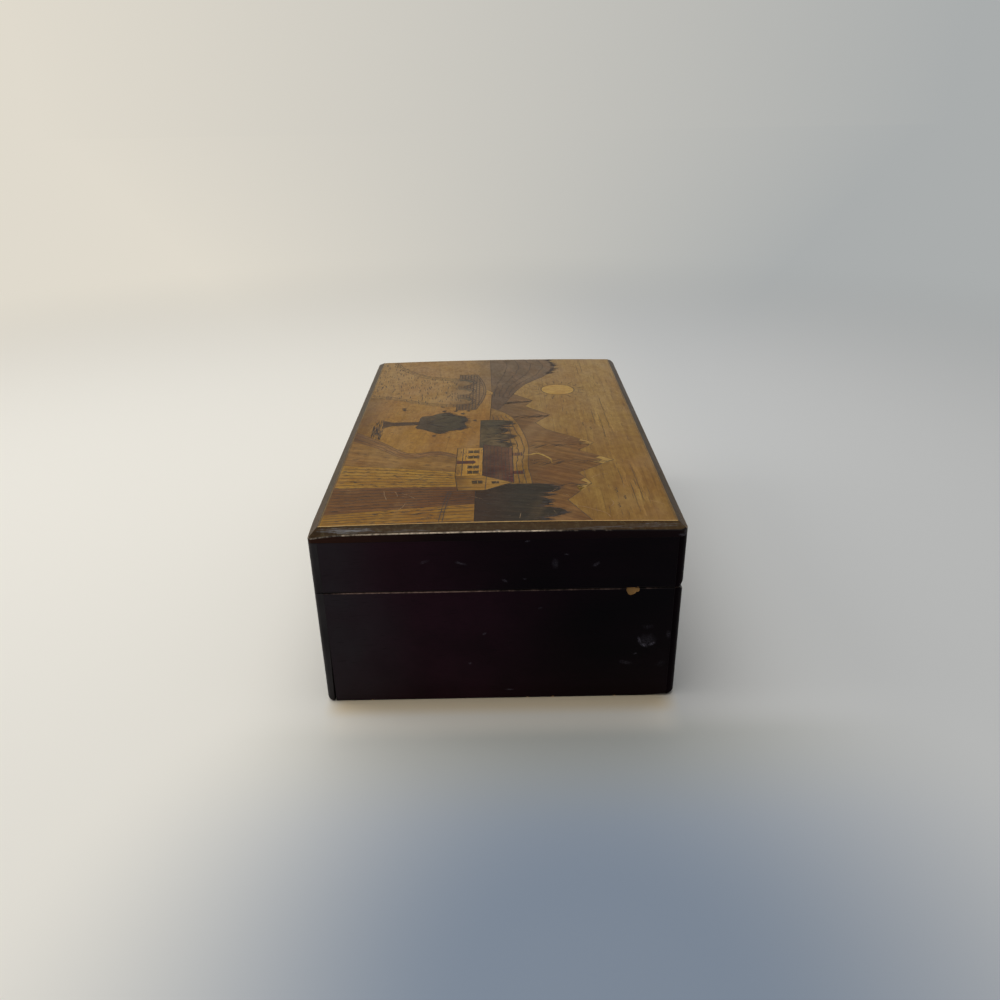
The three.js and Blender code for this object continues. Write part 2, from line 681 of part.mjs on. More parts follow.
const sides = ["left", "right"];
hingeXs.forEach((x, i) => {
  const hinge = "hinge_" + sides[i];
  put(base, hinge + "_base_leaf", hingeLeaf(-1), brass).position.set(x, pinY, pinZ);
  put(base, hinge + "_pin", hingePin(), steel).position.set(x, pinY, pinZ);
  put(lid, hinge + "_lid_leaf", hingeLeaf(1), brass).position.set(x, pinY, pinZ);
  screwXs.forEach((dx, k) => {
    const low = put(base, `${hinge}_base_screw_${k + 1}`, slottedScrew(), brass);
    low.position.set(x + dx, pinY + screwY, BASE_HEIGHT);
    const high = put(lid, `${hinge}_lid_screw_${k + 1}`, slottedScrew(), brass);
    high.position.set(x + dx, pinY + screwY, lidBottom);
    high.rotation.x = Math.PI;
  });
});

export default box;
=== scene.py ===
"""The looks of a hinged wooden jewelry box with a marquetry picture on its lid.

Lengths in the code are millimetres, times MM where they go to Blender, which works in metres. The frame is
the part's own: X along the box, -Y the front, +Y the hinge side, Z up, origin in the middle of the
underside. A string of six hexadecimal digits is a colour.
"""

import math
import random

import bmesh
import bpy
from mathutils import Matrix, Vector, noise
from mathutils.bvhtree import BVHTree


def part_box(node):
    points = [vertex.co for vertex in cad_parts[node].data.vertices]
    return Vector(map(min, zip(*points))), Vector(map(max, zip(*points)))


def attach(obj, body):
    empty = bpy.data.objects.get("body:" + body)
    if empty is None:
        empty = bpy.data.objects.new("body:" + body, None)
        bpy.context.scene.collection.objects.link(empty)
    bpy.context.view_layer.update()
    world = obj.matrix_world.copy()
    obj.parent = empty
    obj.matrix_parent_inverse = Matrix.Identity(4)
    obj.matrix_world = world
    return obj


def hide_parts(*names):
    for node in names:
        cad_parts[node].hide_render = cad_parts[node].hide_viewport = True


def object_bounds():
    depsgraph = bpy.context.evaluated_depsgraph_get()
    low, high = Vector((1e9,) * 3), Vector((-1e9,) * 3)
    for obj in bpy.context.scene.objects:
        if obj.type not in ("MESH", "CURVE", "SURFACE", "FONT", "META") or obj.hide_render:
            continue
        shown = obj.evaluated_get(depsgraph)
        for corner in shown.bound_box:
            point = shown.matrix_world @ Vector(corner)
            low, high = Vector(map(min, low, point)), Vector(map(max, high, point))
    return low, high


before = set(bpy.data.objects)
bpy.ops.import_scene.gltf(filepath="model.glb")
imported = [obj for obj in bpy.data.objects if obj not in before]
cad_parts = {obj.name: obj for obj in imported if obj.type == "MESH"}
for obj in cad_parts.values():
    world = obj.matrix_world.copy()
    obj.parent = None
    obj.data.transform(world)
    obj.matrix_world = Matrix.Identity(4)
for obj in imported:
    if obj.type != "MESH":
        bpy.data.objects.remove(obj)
cad_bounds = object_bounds()

MM = 0.001
SIDES = ("front", "back", "left", "right")

# How wood is turned so that its grain runs along X or Y, and the turn for each side
ALONG_X, ALONG_Y = (0, 0, 0), (0, 0, -90)
GRAIN = dict(zip(SIDES, (ALONG_X, ALONG_X, ALONG_Y, ALONG_Y)))

# Sizes that the frame gives
HALF_LENGTH = cad_bounds[1].x / MM
HALF_WIDTH = cad_bounds[1].y / MM
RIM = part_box("base_left_board")[1].z / MM
LID_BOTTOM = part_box("lid_left_board")[0].z / MM
STRIP_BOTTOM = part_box("edge_strip_front")[0].z / MM
TOP_MIDDLE = cad_bounds[1].z / MM
TOP_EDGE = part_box("stringing_front")[1].z / MM
PICTURE_LENGTH, PICTURE_WIDTH = (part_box("veneer_sky")[1][i] / MM for i in (0, 1))
CROWN = (TOP_MIDDLE - TOP_EDGE) / (PICTURE_WIDTH / HALF_WIDTH) ** 2
LIP = HALF_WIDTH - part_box("base_right_board")[1].y / MM

# Camera, from the photograph's perspective
CAMERA_PLACE = (344.9, 0.9, 200.7)
CAMERA_PITCH = math.radians(25.85)
CAMERA_ROLL = math.radians(-1.03)
FOCAL_PIXELS = 825.5
PICTURE_PIXELS = 1000
SENSOR = 36

# Wear
EDGE_WEAR = 0.42  # width of a fully rubbed edge
JOINT_SHARE, RIM_SHARE, LID_SHARE, INNER_SHARE, STRIP_SHARE = 0.14, 0.85, 0.5, 0.5, 0.65  # of that width
CORNER_REACH = 9  # how far along a long board its worn foot goes
FOOT_LEVELS = (0.12, 0.35, 0.7, 1.1, 1.6, 2.2)
HEEL_START, HEEL_REACH, HEEL_RISE = 52, 3, 1.0  # along Y, then up and inwards, then how much is worn away
SPRUNG_HEIGHT, SPRUNG_GAP, SPRUNG_LIFT = 27, 0.85, 0.5  # of the open joint at the front of the right-hand end
DIP_REACH, DIP_DEPTH = 13, 1.1  # of the worn corner of the bevelled border

# How far the thin layers of the picture stand above the veneers
GLUE_LIFT, INLAY_LIFT, PALE_INLAY_LIFT, LINE_LIFT, SCRATCH_LIFT = 0.012, 0.02, 0.024, 0.03, 0.04


def srgb(code):
    """A linear colour from six hexadecimal digits."""
    channels = [int(code[i:i + 2], 16) / 255 for i in (0, 2, 4)]
    linear = [c / 12.92 if c <= 0.04045 else ((c + 0.055) / 1.055) ** 2.4 for c in channels]
    return (*linear, 1)


# Materials


class Nodes:
    """A node tree in the making. Most methods add a node and give back its output socket."""

    def __init__(self, tree):
        self.tree = tree
        tree.nodes.clear()

    def node(self, kind, *values, **settings):
        """Adds a shader node, feeds its first inputs and gives it back."""
        made = self.tree.nodes.new(f"ShaderNode{kind}")
        for key, value in settings.items():
            setattr(made, key, value)
        for socket, value in zip(made.inputs, values):
            self.feed(socket, value)
        return made

    def feed(self, socket, value):
        """Links a socket to another, or sets it to a value or a colour."""
        if isinstance(value, bpy.types.NodeSocket):
            self.tree.links.new(value, socket)
        else:
            socket.default_value = srgb(value) if isinstance(value, str) else value

    def fill(self, node, **values):
        """Feeds a node's sockets by name, with underscores for spaces, and gives back its first output."""
        for name, value in values.items():
            self.feed(node.inputs[name.replace("_", " ")], value)
        return node.outputs[0]

    def math(self, operation, *values):
        return self.node("Math", *values, operation=operation).outputs[0]

    def times(self, a, b):
        return self.math("MULTIPLY", a, b)

    def blend(self, a, share, rest):
        """a times share, plus rest."""
        return self.math("MULTIPLY_ADD", a, share, rest)

    def length(self, vector):
        return self.node("VectorMath", vector, operation="LENGTH").outputs["Value"]

    def between(self, value, low, high, to_low=0.0, to_high=1.0, kind="SMOOTHSTEP"):
        made = self.node("MapRange", value, low, high, to_low, to_high, interpolation_type=kind)
        return made.outputs[0]

    def mix(self, share, a, b, mode="MIX"):
        made = self.node("Mix", share, data_type="RGBA", blend_type=mode)
        self.feed(made.inputs[6], a)
        self.feed(made.inputs[7], b)
        return made.outputs[2]

    def surround(self, direction):
        """The pale surround's colour, lighter to the left of the photograph's view than to its right."""
        sideways = self.node("SeparateXYZ", direction).outputs[1]
        return self.mix(self.between(sideways, -0.45, 0.45, kind="LINEAR"), "e0dacd", "aaadad")


class Shader(Nodes):
    """A material in the making, whose colour is built up by tints."""

    def __init__(self, name):
        self.material = bpy.data.materials.new(name)
        self.material.use_nodes = True
        super().__init__(self.material.node_tree)
        self.bsdf = self.node("BsdfPrincipled")
        self.output = self.node("OutputMaterial", self.bsdf.outputs[0])
        self.place = self.node("TexCoord").outputs["Object"]

    def start(self, share, pale, dark):
        self.colour = self.mix(share, pale, dark)

    def tint(self, share, colour, mode="MIX"):
        self.colour = self.mix(share, self.colour, colour, mode)

    def blot(self, value, low, high, share, colour, mode="MIX"):
        """Tints by nothing where a value is low, up to a share where it is high."""
        self.tint(self.between(value, low, high, 0, share), colour, mode)

    def finish(self, **values):
        self.fill(self.bsdf, Base_Color=self.colour, **values)
        return self.material

    def mapped(self, stretch=1, turn=(0, 0, 0), shift=(0, 0, 0)):
        """Object coordinates in millimetres, turned by degrees, then stretched and shifted."""
        turn = [math.radians(a) for a in turn]
        turned = self.node("Mapping", self.place, (0, 0, 0), turn, (1 / MM,) * 3).outputs[0]
        stretch = stretch if isinstance(stretch, tuple) else (stretch,) * 3
        return self.node("Mapping", turned, shift, (0, 0, 0), stretch).outputs[0]

    def along(self, axis):
        """The place along X, Y or Z, in millimetres."""
        return self.node("SeparateXYZ", self.mapped()).outputs[axis]

    def noise(self, stretch, detail, roughness, distortion=0.0, turn=(0, 0, 0), shift=(0, 0, 0)):
        """Noise from 0 to 1, in lumps of about one millimetre over the stretch."""
        made = self.node("TexNoise", self.mapped(stretch, turn, shift))
        return self.fill(made, Scale=1, Detail=detail, Roughness=roughness, Distortion=distortion)

    def cells(self, stretch, shift):
        """The distance to the nearest of scattered points."""
        return self.fill(self.node("TexVoronoi", self.mapped(stretch, shift=shift)), Scale=1)

    def bump(self, height, depth, strength=1.0):
        """A normal from a height of 0 to 1 that stands for a depth in millimetres."""
        return self.fill(self.node("Bump"), Strength=strength, Distance=depth * MM, Height=height)

    def relief(self, fibres, pore, depth, strength):
        """A normal for raised fibres and sunken pores."""
        return self.bump(self.math("SUBTRACT", fibres, pore), depth, strength)

    def grain(self, turn, seed, band, waviness):
        """Bands, fibres and pores of wood whose grain runs along X once turned, each from 0 to 1."""
        shift = (seed * 7.3, seed * 3.1, seed * 5.7)
        bands = self.noise((0.006, 1 / band, 1 / band), 3, 0.55, waviness, turn, shift)
        coarse = self.noise((0.03, 1.1, 1.1), 3, 0.6, 0.2, turn, shift)
        fine = self.noise((0.06, 3.4, 3.4), 2, 0.6, 0, turn, shift)
        fibres = self.blend(fine, 0.35, self.times(coarse, 0.65))
        pores = self.noise((0.2, 4, 4), 2, 0.5, 0, turn, shift)
        return self.between(bands, 0.3, 0.7), fibres, self.between(pores, 0.6, 0.75)

    def reach(self, place, sizes, tilt=0):
        """The distance from a place in steps of the sizes, along axes tilted about X by degrees."""
        place, sizes = ([c * MM for c in lengths] for lengths in (place, sizes))
        turn = (math.radians(tilt), 0, 0)
        spot = self.node("Mapping", self.place, place, turn, sizes, vector_type="TEXTURE")
        return self.length(spot.outputs[0])

    def scuffs_and_sheen(self, spots, fleck=(1.2, 1.6, 5.2), turn=(35, 0, 0)):
        """Rubbed marks on the right-hand end, broken into flecks, and the painted sheen on its bevel. Each is
        (y, z, half width, half height, tilt in degrees, strength)."""
        broken = self.between(self.noise(fleck, 4, 0.7, 0.5, turn), 0.46, 0.62)
        ragged = self.noise(0.6, 3, 0.6)
        marks = 0.0
        for y, z, half_wide, half_tall, tilt, strength in spots:
            reach = self.reach((HALF_LENGTH, y, z), (20, half_wide, half_tall), tilt)
            edge = self.blend(ragged, 0.9, self.math("SUBTRACT", reach, 0.45))
            inside = self.between(edge, 1.0, 0.2, 0, strength)
            mark = self.math("MAXIMUM", self.times(inside, 0.08), self.times(inside, broken))
            marks = self.math("MAXIMUM", marks, mark)
        return marks


def veneer(name, pale, dark, angle, seed, band, contrast, pores, ripple=0.0, scorch=None):
    """A lacquered veneer. Angle is the grain's, in degrees from X. The lacquer's age runs on across veneers.
    A scorch, as (from, to) along Y, is the brown shading that hot sand leaves towards one edge."""
    shader = Shader(name)
    turn = (0, 0, -angle)
    bands, fibres, pore = shader.grain(turn, seed, band, 0.6)
    share = shader.blend(bands, 0.4 * contrast, shader.times(fibres, 0.75 * contrast))
    shader.start(shader.between(share, 0.15, 0.85), pale, dark)
    if ripple:
        waves = shader.noise((0.3, 0.06, 1), 2, 0.5, 1.2, turn, (seed, 0, 0))
        shader.blot(waves, 0.4, 0.7, ripple, pale)
    if scorch:
        uneven = shader.noise(0.12, 3, 0.6, shift=(seed, 0, 0))
        place = shader.blend(shader.math("SUBTRACT", uneven, 0.5), 9, shader.along(1))
        shader.blot(place, *scorch, 0.55, "3c220f")
    shader.tint(shader.times(pore, pores), "20140c")
    hairs = shader.noise((0.025, 1.7, 1.7), 1, 0.5, 0.3, turn, (0, seed, seed))
    shader.blot(hairs, 0.66, 0.73, 0.3, "3a2412")
    shader.blot(shader.noise((0.035, 0.045, 0.05), 4, 0.6, 0.4), 0.38, 0.68, 0.36, "d9ae74", "MULTIPLY")
    # Painted reflection: a pale grey haze on the lacquer that grows towards the left-hand end
    shader.blot(shader.along(0), 70, -110, 0.26, "aa9b7c")
    mottle = shader.noise((0.3, 0.55, 0.55), 4, 0.7, 0.3, turn, (seed, seed, 0))
    shader.blot(mottle, 0.36, 0.64, 0.34, "b08a55", "MULTIPLY")
    bleached = shader.noise((0.02, 0.05, 0.05), 3, 0.6, 0, (0, 0, 20), (9, 4, 0))
    shader.blot(bleached, 0.5, 0.75, 0.28, "a5875c")
    shader.blot(shader.cells(0.33, (3, 0, 0)), 0.1, 0.03, 0.5, "3a2412")
    rubs = shader.between(shader.noise((0.9, 0.05, 1), 3, 0.65, 0.5, (0, 0, 28)), 0.66, 0.76, 0, 0.3)
    shader.tint(shader.times(rubs, shader.between(bleached, 0.35, 0.6)), "bfa27a")
    haze = shader.between(shader.noise(0.08, 4, 0.6), 0.3, 0.7, 0.34, 0.5)
    return shader.finish(Roughness=haze, Specular_IOR_Level=0.3, IOR=1.28,
                         Normal=shader.relief(fibres, pore, 0.02, 0.6))


def stained_board(name, turn, seed, scuffs_and_sheen=(), tone=0.0, painted_light=(), gloss=0.8):
    """Near-black mahogany stain under an old lacquer. A tone above 0 lets more of the red wood through. A
    band of painted light, as (axis, from, to, share, colour), paints the lacquer lighter towards its second
    place along an axis, for the light, sheens and reflections that fall on the box."""
    shader = Shader(name)
    bands, fibres, pore = shader.grain(turn, seed, 6, 0.8)
    depth = shader.noise((0.012, 0.03, 0.03), 3, 0.5, 0, turn, (seed, 0, seed))
    shader.start(shader.between(depth, 0.35, 0.7), "060407", "170810")
    if tone:
        shader.tint(tone, "41221a")
    shader.tint(shader.times(bands, 0.4), "060406")
    # Painted light: the lacquer lighter by place, where light, sheen and reflections fall
    for axis, low, high, share, colour in painted_light:
        uneven = shader.between(shader.noise(0.05, 3, 0.55, shift=(seed, low, 0)), 0.25, 0.7, 0.55, 1)
        shader.tint(shader.times(shader.between(shader.along(axis), low, high, 0, share), uneven), colour)
    shader.tint(shader.times(fibres, 0.12), "2c1216")
    shader.tint(shader.times(pore, 0.5), "040303")
    nicks = shader.noise((0.8, 0.9, 2.2), 3, 0.6, 0.6, (18, 24, 31 + 11 * seed))
    patches = shader.between(shader.noise(0.045, 3, 0.6, shift=(seed, 5, 0)), 0.5, 0.65)
    marks = shader.times(shader.between(nicks, 0.7, 0.76, 0, 0.13), patches)
    if scuffs_and_sheen:
        marks = shader.math("MAXIMUM", marks, shader.scuffs_and_sheen(scuffs_and_sheen))
    shader.tint(shader.times(marks, 0.7), "938d9c")
    dust = shader.between(shader.noise(0.06, 5, 0.65), 0.3, 0.7, 0.3, 0.44)
    return shader.finish(Roughness=shader.blend(marks, 0.25, dust), Specular_IOR_Level=gloss, IOR=1.12,
                         Normal=shader.relief(fibres, pore, 0.03, 0.5))


def worn_edge(name, turn, bare, seed, share, fades=(), rim=None):
    """The rubbed arris of a stained board: stain that thins out to bare wood in places. The wear can fade
    along Y, as (from, to, amount) each time, or be strongest at the height of the rim."""
    shader = Shader(name)
    patches = shader.noise(0.09, 5, 0.7, shift=(seed, 0, 0))
    _, fibres, _ = shader.grain(turn, seed, 4, 0.5)
    low = shader.math("SUBTRACT", 0.66, share * 0.35)
    for start, end, amount in fades:
        low = shader.math("ADD", low, shader.between(shader.along(1), start, end, 0, amount))
    if rim:
        low = shader.math("SUBTRACT", low, shader.between(shader.along(2), rim - 2, rim - 0.8, 0, 0.38))
    worn = shader.between(patches, low, shader.math("ADD", low, 0.3))
    worn = shader.times(worn, shader.between(fibres, 0.2, 0.6, 0.6, 1))
    dashes = shader.noise(0.7, 4, 0.75, shift=(0, seed, 0))
    shader.start(shader.times(worn, shader.between(dashes, 0.36, 0.58, 0.3, 1)), "150a0b", bare)
    return shader.finish(Roughness=0.45, Specular_IOR_Level=0.25, Normal=shader.bump(fibres, 0.03, 0.5))


def bare_wood(name, pale, dark, turn=ALONG_X, roughness=0.7):
    """Unfinished wood, as in a chip, on plywood or under the box."""
    shader = Shader(name)
    bands, fibres, pore = shader.grain(turn, 0, 5, 0.8)
    shader.start(shader.blend(bands, 0.5, shader.times(fibres, 0.5)), pale, dark)
    shader.tint(shader.times(pore, 0.35), "4a2f18")
    shader.blot(shader.noise(0.03, 5, 0.7, shift=(0, 2, 0)), 0.45, 0.7, 0.45, "4d3a28")
    return shader.finish(Roughness=roughness, Specular_IOR_Level=0.25, Normal=shader.bump(fibres, 0.04, 0.6))


def edging(name, turn, seed, scuffs_and_sheen, grey):
    """The dark brown bevelled border, with a greyish bloom and, where given, a bluish-grey painted sheen
    along it.
    """
    shader = Shader(name)
    bands, fibres, pore = shader.grain(turn, seed + 20, 2.2, 0.5)
    shader.start(shader.blend(bands, 0.5, shader.times(fibres, 0.4)), "4b3416", "26190b")
    shader.tint(shader.times(pore, 0.6), "0a0705")
    bloom = shader.noise((0.02, 0.2, 0.2), 5, 0.7, 0, turn, (seed, 0, 0))
    shader.blot(bloom, 0.45, 0.75, grey, "4a4639")
    shader.blot(shader.noise((0.5, 0.5, 0.9), 4, 0.7), 0.45, 0.7, 0.3, "6b6044")
    if scuffs_and_sheen:
        # Painted sheen: bluish-grey highlight streaks along the bevel, with its few rubbed marks
        shader.tint(shader.times(shader.scuffs_and_sheen(scuffs_and_sheen, (1, 0.1, 3.6), (0, 0, 0)), 0.8), "8e9199")
    sheen = shader.between(bloom, 0.3, 0.7, 0.26, 0.42)
    return shader.finish(Roughness=sheen, Specular_IOR_Level=0.2, IOR=1.3,
                         Normal=shader.relief(fibres, pore, 0.03, 0.7))


def velvet(name, deep, light, seed=0):
    """Short pile cloth, brushed a little lighter and darker in broad patches."""
    shader = Shader(name)
    pile = shader.between(shader.noise(1.5, 5, 0.85, shift=(seed, 0, 0)), 0.3, 0.7)
    brushed = shader.noise((0.022, 0.05, 0.04), 3, 0.6, 0.4, (0, 0, 24), (seed, 0, 0))
    strokes = shader.noise((0.05, 0.6, 0.4), 3, 0.7, 0, (0, 0, 24), (seed, 3, 0))
    share = shader.blend(pile, 0.55, shader.between(brushed, 0.35, 0.7, 0, 0.16))
    shader.start(shader.blend(strokes, 0.25, share), deep, light)
    return shader.finish(Roughness=0.9, Specular_IOR_Level=0.1, Sheen_Weight=0.4, Sheen_Roughness=0.35,
                         Sheen_Tint="b8485a", Normal=shader.bump(pile, 0.3))


def metal(name, pale, dark, roughness, seed=0):
    """Metal with tarnish in patches and fine rubbing marks."""
    shader = Shader(name)
    tarnish = shader.noise(0.35, 5, 0.65, shift=(seed, 0, 0))
    shader.start(shader.between(tarnish, 0.4, 0.65), pale, dark)
    return shader.finish(Metallic=1.0, Roughness=shader.blend(tarnish, 0.3, roughness),
                         Normal=shader.bump(shader.noise((0.6, 6, 6), 3, 0.6), 0.01, 0.5))


def ink(name, pale, dark):
    """A dark or pale filler in thin lines, uneven along them."""
    shader = Shader(name)
    uneven = shader.noise(0.3, 4, 0.7)
    shader.start(shader.between(uneven, 0.4, 0.65), dark, pale)
    return shader.finish(Roughness=0.45, Specular_IOR_Level=0.35, Normal=shader.bump(uneven, 0.01, 0.4))


# Scuffs on the pieces of the right-hand end, and the painted sheen on its bevel: y, z, half width, half
# height, tilt in degrees, strength
SCUFFS_AND_SHEEN = {
    "base_right": (
        (52.8, 25, 4.2, 3.2, 0, 0.3), (50.2, 25, 0.9, 2.2, 20, 0.9), (51.8, 23, 2.2, 1, -28, 1),
        (54.6, 23.4, 2.2, 0.9, 30, 0.9), (52.9, 30.8, 2.6, 1.2, 0, 0.15), (45.7, 15.4, 3, 1.1, -10, 0.3),
        (60.4, 27.4, 1, 2.2, 0, 0.35), (48.9, 19.2, 1, 0.5, 10, 0.6), (58.4, 14.6, 2.4, 1.6, 30, 0.12),
        (-5.5, 29, 1, 0.5, 30, 0.8), (-11, 16.2, 0.9, 0.6, 0, 0.8), (14.4, 39.5, 1, 0.5, 20, 0.5),
        (3.1, 4, 2, 0.4, 0, 0.8),
    ),
    "lid_right": (
        (-25.4, 59, 2.4, 0.8, 20, 0.3), (-13, 58.2, 2.6, 0.7, -18, 0.55),
        (1.9, 51, 1.5, 0.6, -30, 0.55), (19.5, 57.5, 1.6, 2.6, 0, 0.3), (23.4, 61, 1.1, 0.4, 0, 0.6),
        (33.6, 57, 1.8, 0.8, 35, 0.5), (9, 51.6, 0.8, 0.4, 0, 0.6), (62.6, 67, 2.2, 0.5, -8, 1),
        (10, 66.4, 1.2, 0.4, 15, 0.6),
    ),
    "strip_right": ((62.6, 67.7, 2.4, 0.6, -8, 1), (63.4, 68.8, 0.8, 0.8, 0, 0.6)),
    # Mostly long streaks of painted sheen along the bevel, with a few small rubbed marks
    "bevel_right": (
        (-51, 70.7, 13, 0.75, 0, 1), (-30, 70.6, 9, 0.5, 0, 0.5), (34, 70.6, 22, 0.5, 0, 0.3),
        (0, 70.4, 1.2, 0.4, 0, 0.8), (19, 70.5, 0.8, 0.4, 0, 0.7), (51, 70.8, 15, 0.6, 0, 0.9),
    ),
}
# Painted light, sheen and reflections, where the lacquer is painted lighter: axis, from, to, share, colour
# A painted sheen of grazing light along the right-hand corner of the front boards
CORNER_PAINTED_SHEEN = ((0, 97.4, 99.5, 0.9, "3b393b"),)
# The back boards painted lighter on their outer face, more towards the left-hand end, where little light
# reaches
BACK_PAINTED_LIGHT = ((0, 30, -75, 0.75, "3d2a2e"), (1, 64.1, 64.45, 0.5, "38282c"))
PAINTED_LIGHT = {
    "base_front": CORNER_PAINTED_SHEEN, "lid_front": CORNER_PAINTED_SHEEN, "base_back": BACK_PAINTED_LIGHT, "lid_back": BACK_PAINTED_LIGHT,
    # Painted light and a painted grey reflection, stronger towards the front of the right-hand end and its
    # border
    "base_right": ((1, 36, -20, 0.85, "301522"), (1, -24, -60, 0.85, "2f2c31")),
    "lid_right": ((1, 16, -42, 0.8, "301522"), (1, -34, -62, 0.8, "2f2c31")),
    "strip_right": ((1, -14, -58, 0.8, "3e2112"),),
}
# Where the rubbed line dies away along the rim and along the lid's arris: from, to, amount
RIM_FADES = ((-16, 8, 0.19), (34, 56, 0.08), (-48, -60, 0.06))
ARRIS_FADES = ((0, 36, 0.36), (-36, -60, 0.14))


# Meshes


def placed(name, data):
    """An object in the scene."""
    made = bpy.data.objects.new(name, data)
    bpy.context.scene.collection.objects.link(made)
    return made


def meshed(name, bm, materials):
    """An object from a bmesh, which is used up."""
    mesh = bpy.data.meshes.new(name)
    bm.to_mesh(mesh)
    bm.free()
    for material in materials:
        mesh.materials.append(material)
    return placed(name, mesh)


def make_piece(name, bm, materials, body):
    piece = meshed(name, bm, materials)
    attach(piece, body)
    return piece


def apply_modifiers(piece):
    graph = bpy.context.evaluated_depsgraph_get()
    mesh = bpy.data.meshes.new_from_object(piece.evaluated_get(graph), depsgraph=graph)
    old = piece.data
    piece.modifiers.clear()
    piece.data = mesh
    mesh.name = piece.name
    bpy.data.meshes.remove(old)


def softened(node, name, materials, body, share_of, skin_of, cutters=(), shape=None):
    """A copy of a CAD node with worn edges, which replaces it. share_of gives an edge's share of EDGE_WEAR
    from its middle, direction and length, and skin_of a face's material from its middle and normal."""
    bm = bmesh.new()
    bm.from_mesh(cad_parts[node].data)
    bmesh.ops.remove_doubles(bm, verts=bm.verts, dist=0.0005 * MM)
    bmesh.ops.dissolve_limit(bm, angle_limit=math.radians(0.5), verts=bm.verts, edges=bm.edges)
    weight = bm.edges.layers.float.new("bevel_weight_edge")
    for edge in bm.edges:
        if len(edge.link_faces) == 2 and edge.is_convex and edge.calc_face_angle() > math.radians(25):
            a, b = (v.co / MM for v in edge.verts)
            edge[weight] = share_of((a + b) / 2, (b - a).normalized(), (b - a).length)
    if shape:
        shape(bm)
    piece = make_piece(name, bm, materials, body)
    worn = piece.modifiers.new("worn", "BEVEL")
    worn.width = EDGE_WEAR * MM
    worn.segments = 3
    worn.limit_method = "WEIGHT"
    worn.material = 1
    for cutter in cutters:
        chip = piece.modifiers.new("chip", "BOOLEAN")
        chip.object = cutter
        chip.solver = "EXACT"
        chip.material_mode = "TRANSFER"
    apply_modifiers(piece)
    piece.data.set_sharp_from_angle(angle=math.radians(35))
    piece.modifiers.new("level", "WEIGHTED_NORMAL").keep_sharp = True
    apply_modifiers(piece)
    for polygon in piece.data.polygons:
        if polygon.material_index == 0:
            polygon.material_index = skin_of(polygon.center / MM, polygon.normal)
    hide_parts(node)


def at_seam(point):
    return abs(point.z - RIM) < 0.2 or abs(point.z - LID_BOTTOM) < 0.2


def board_wear(point, direction, length):
    """How much of the full wear an edge of a board has."""
    if abs(point.x) <= HALF_LENGTH - LIP - 0.2 and abs(point.y) <= HALF_WIDTH - LIP - 0.2:
        return INNER_SHARE if at_seam(point) and length > 20 else 0.0
    if abs(direction.z) > 0.9:
        return JOINT_SHARE
    if point.z < 1:
        return 1.0
    if at_seam(point):
        return RIM_SHARE if point.z < RIM + 0.1 else LID_SHARE
    return JOINT_SHARE


def strip_wear(point, direction, _):
    """How much of the full wear an edge of a bevelled strip has."""
    outer = abs(point.x) > HALF_LENGTH - 2.5 or abs(point.y) > HALF_WIDTH - 2.5
    arris = outer and abs(direction.z) < 0.5 and STRIP_BOTTOM + 1 < point.z < TOP_EDGE - 1.2
    return STRIP_SHARE if arris else 0.0


def board_skin(point, _):
    """0 is the outer stain, also at the seam, and 3 the inside, where more of the wood shows."""
    inside = abs(point.x) < HALF_LENGTH - LIP - 0.5 and abs(point.y) < HALF_WIDTH - LIP - 0.5
    return 3 if inside and point.z > 1 and not at_seam(point) else 0


def strip_skin(_, normal):
    """0 is the bevel and 2 the upright outer face, which is stained as the walls are."""
    return 2 if abs(normal.z) < 0.3 else 0


def cut_levels(bm, axis, levels, top=1000):
    """Adds edge loops where planes across an axis meet the mesh, in the faces that end below a height."""
    for level in levels:
        normal = Vector([float(i == axis) for i in range(3)])
        faces = [f for f in bm.faces if max(v.co.z for v in f.verts) < top * MM]
        geometry = [*{v for f in faces for v in f.verts}, *{e for f in faces for e in f.edges}, *faces]
        bmesh.ops.bisect_plane(bm, geom=geometry, dist=1e-7, plane_co=normal * level * MM, plane_no=normal)


def worn_foot(bm, left_radius, right_radius):
    """Rounds the bottom corners of a long board, as seen from the box's ends."""
    cut_levels(bm, 2, FOOT_LEVELS)
    cut_levels(bm, 0, [s * (HALF_LENGTH - d) for s in (-1, 1) for d in (4.5, 6.5, CORNER_REACH)])
    for v in bm.verts:
        p = v.co / MM
        beyond = abs(p.y) - (HALF_WIDTH - LIP)
        far = HALF_LENGTH - abs(p.x)
        if beyond <= 0 or far > CORNER_REACH:
            continue
        radius = right_radius if p.x > 0 else left_radius
        radius *= 1 - max(0, far - LIP) / (CORNER_REACH - LIP)
        if p.z < radius:
            lost = radius - math.sqrt(radius ** 2 - (radius - p.z) ** 2)
            v.co.y -= math.copysign(beyond / LIP * lost * MM, p.y)


def raised_heel(bm):
    """Wears away the lower edge of the right-hand end towards its back corner."""
    cut_levels(bm, 2, (0.6, 1.4, HEEL_REACH))
    cut_levels(bm, 0, (HALF_LENGTH - 1.2, HALF_LENGTH - HEEL_REACH), HEEL_REACH + 0.01)
    cut_levels(bm, 1, (HEEL_START, 55, 57, 59), HEEL_REACH + 0.01)
    for v in bm.verts:
        p = v.co / MM
        if p.z < HEEL_REACH and p.x > HALF_LENGTH - HEEL_REACH and p.y > HEEL_START:
            share = ((p.y - HEEL_START) / (HALF_WIDTH - HEEL_START)) ** 1.5
            share *= (1 - (HALF_LENGTH - p.x) / HEEL_REACH) * (1 - p.z / HEEL_REACH)
            v.co.z += HEEL_RISE * share * MM


def worn_back(bm):
    worn_foot(bm, 1.2, 1.4)
    raised_heel(bm)


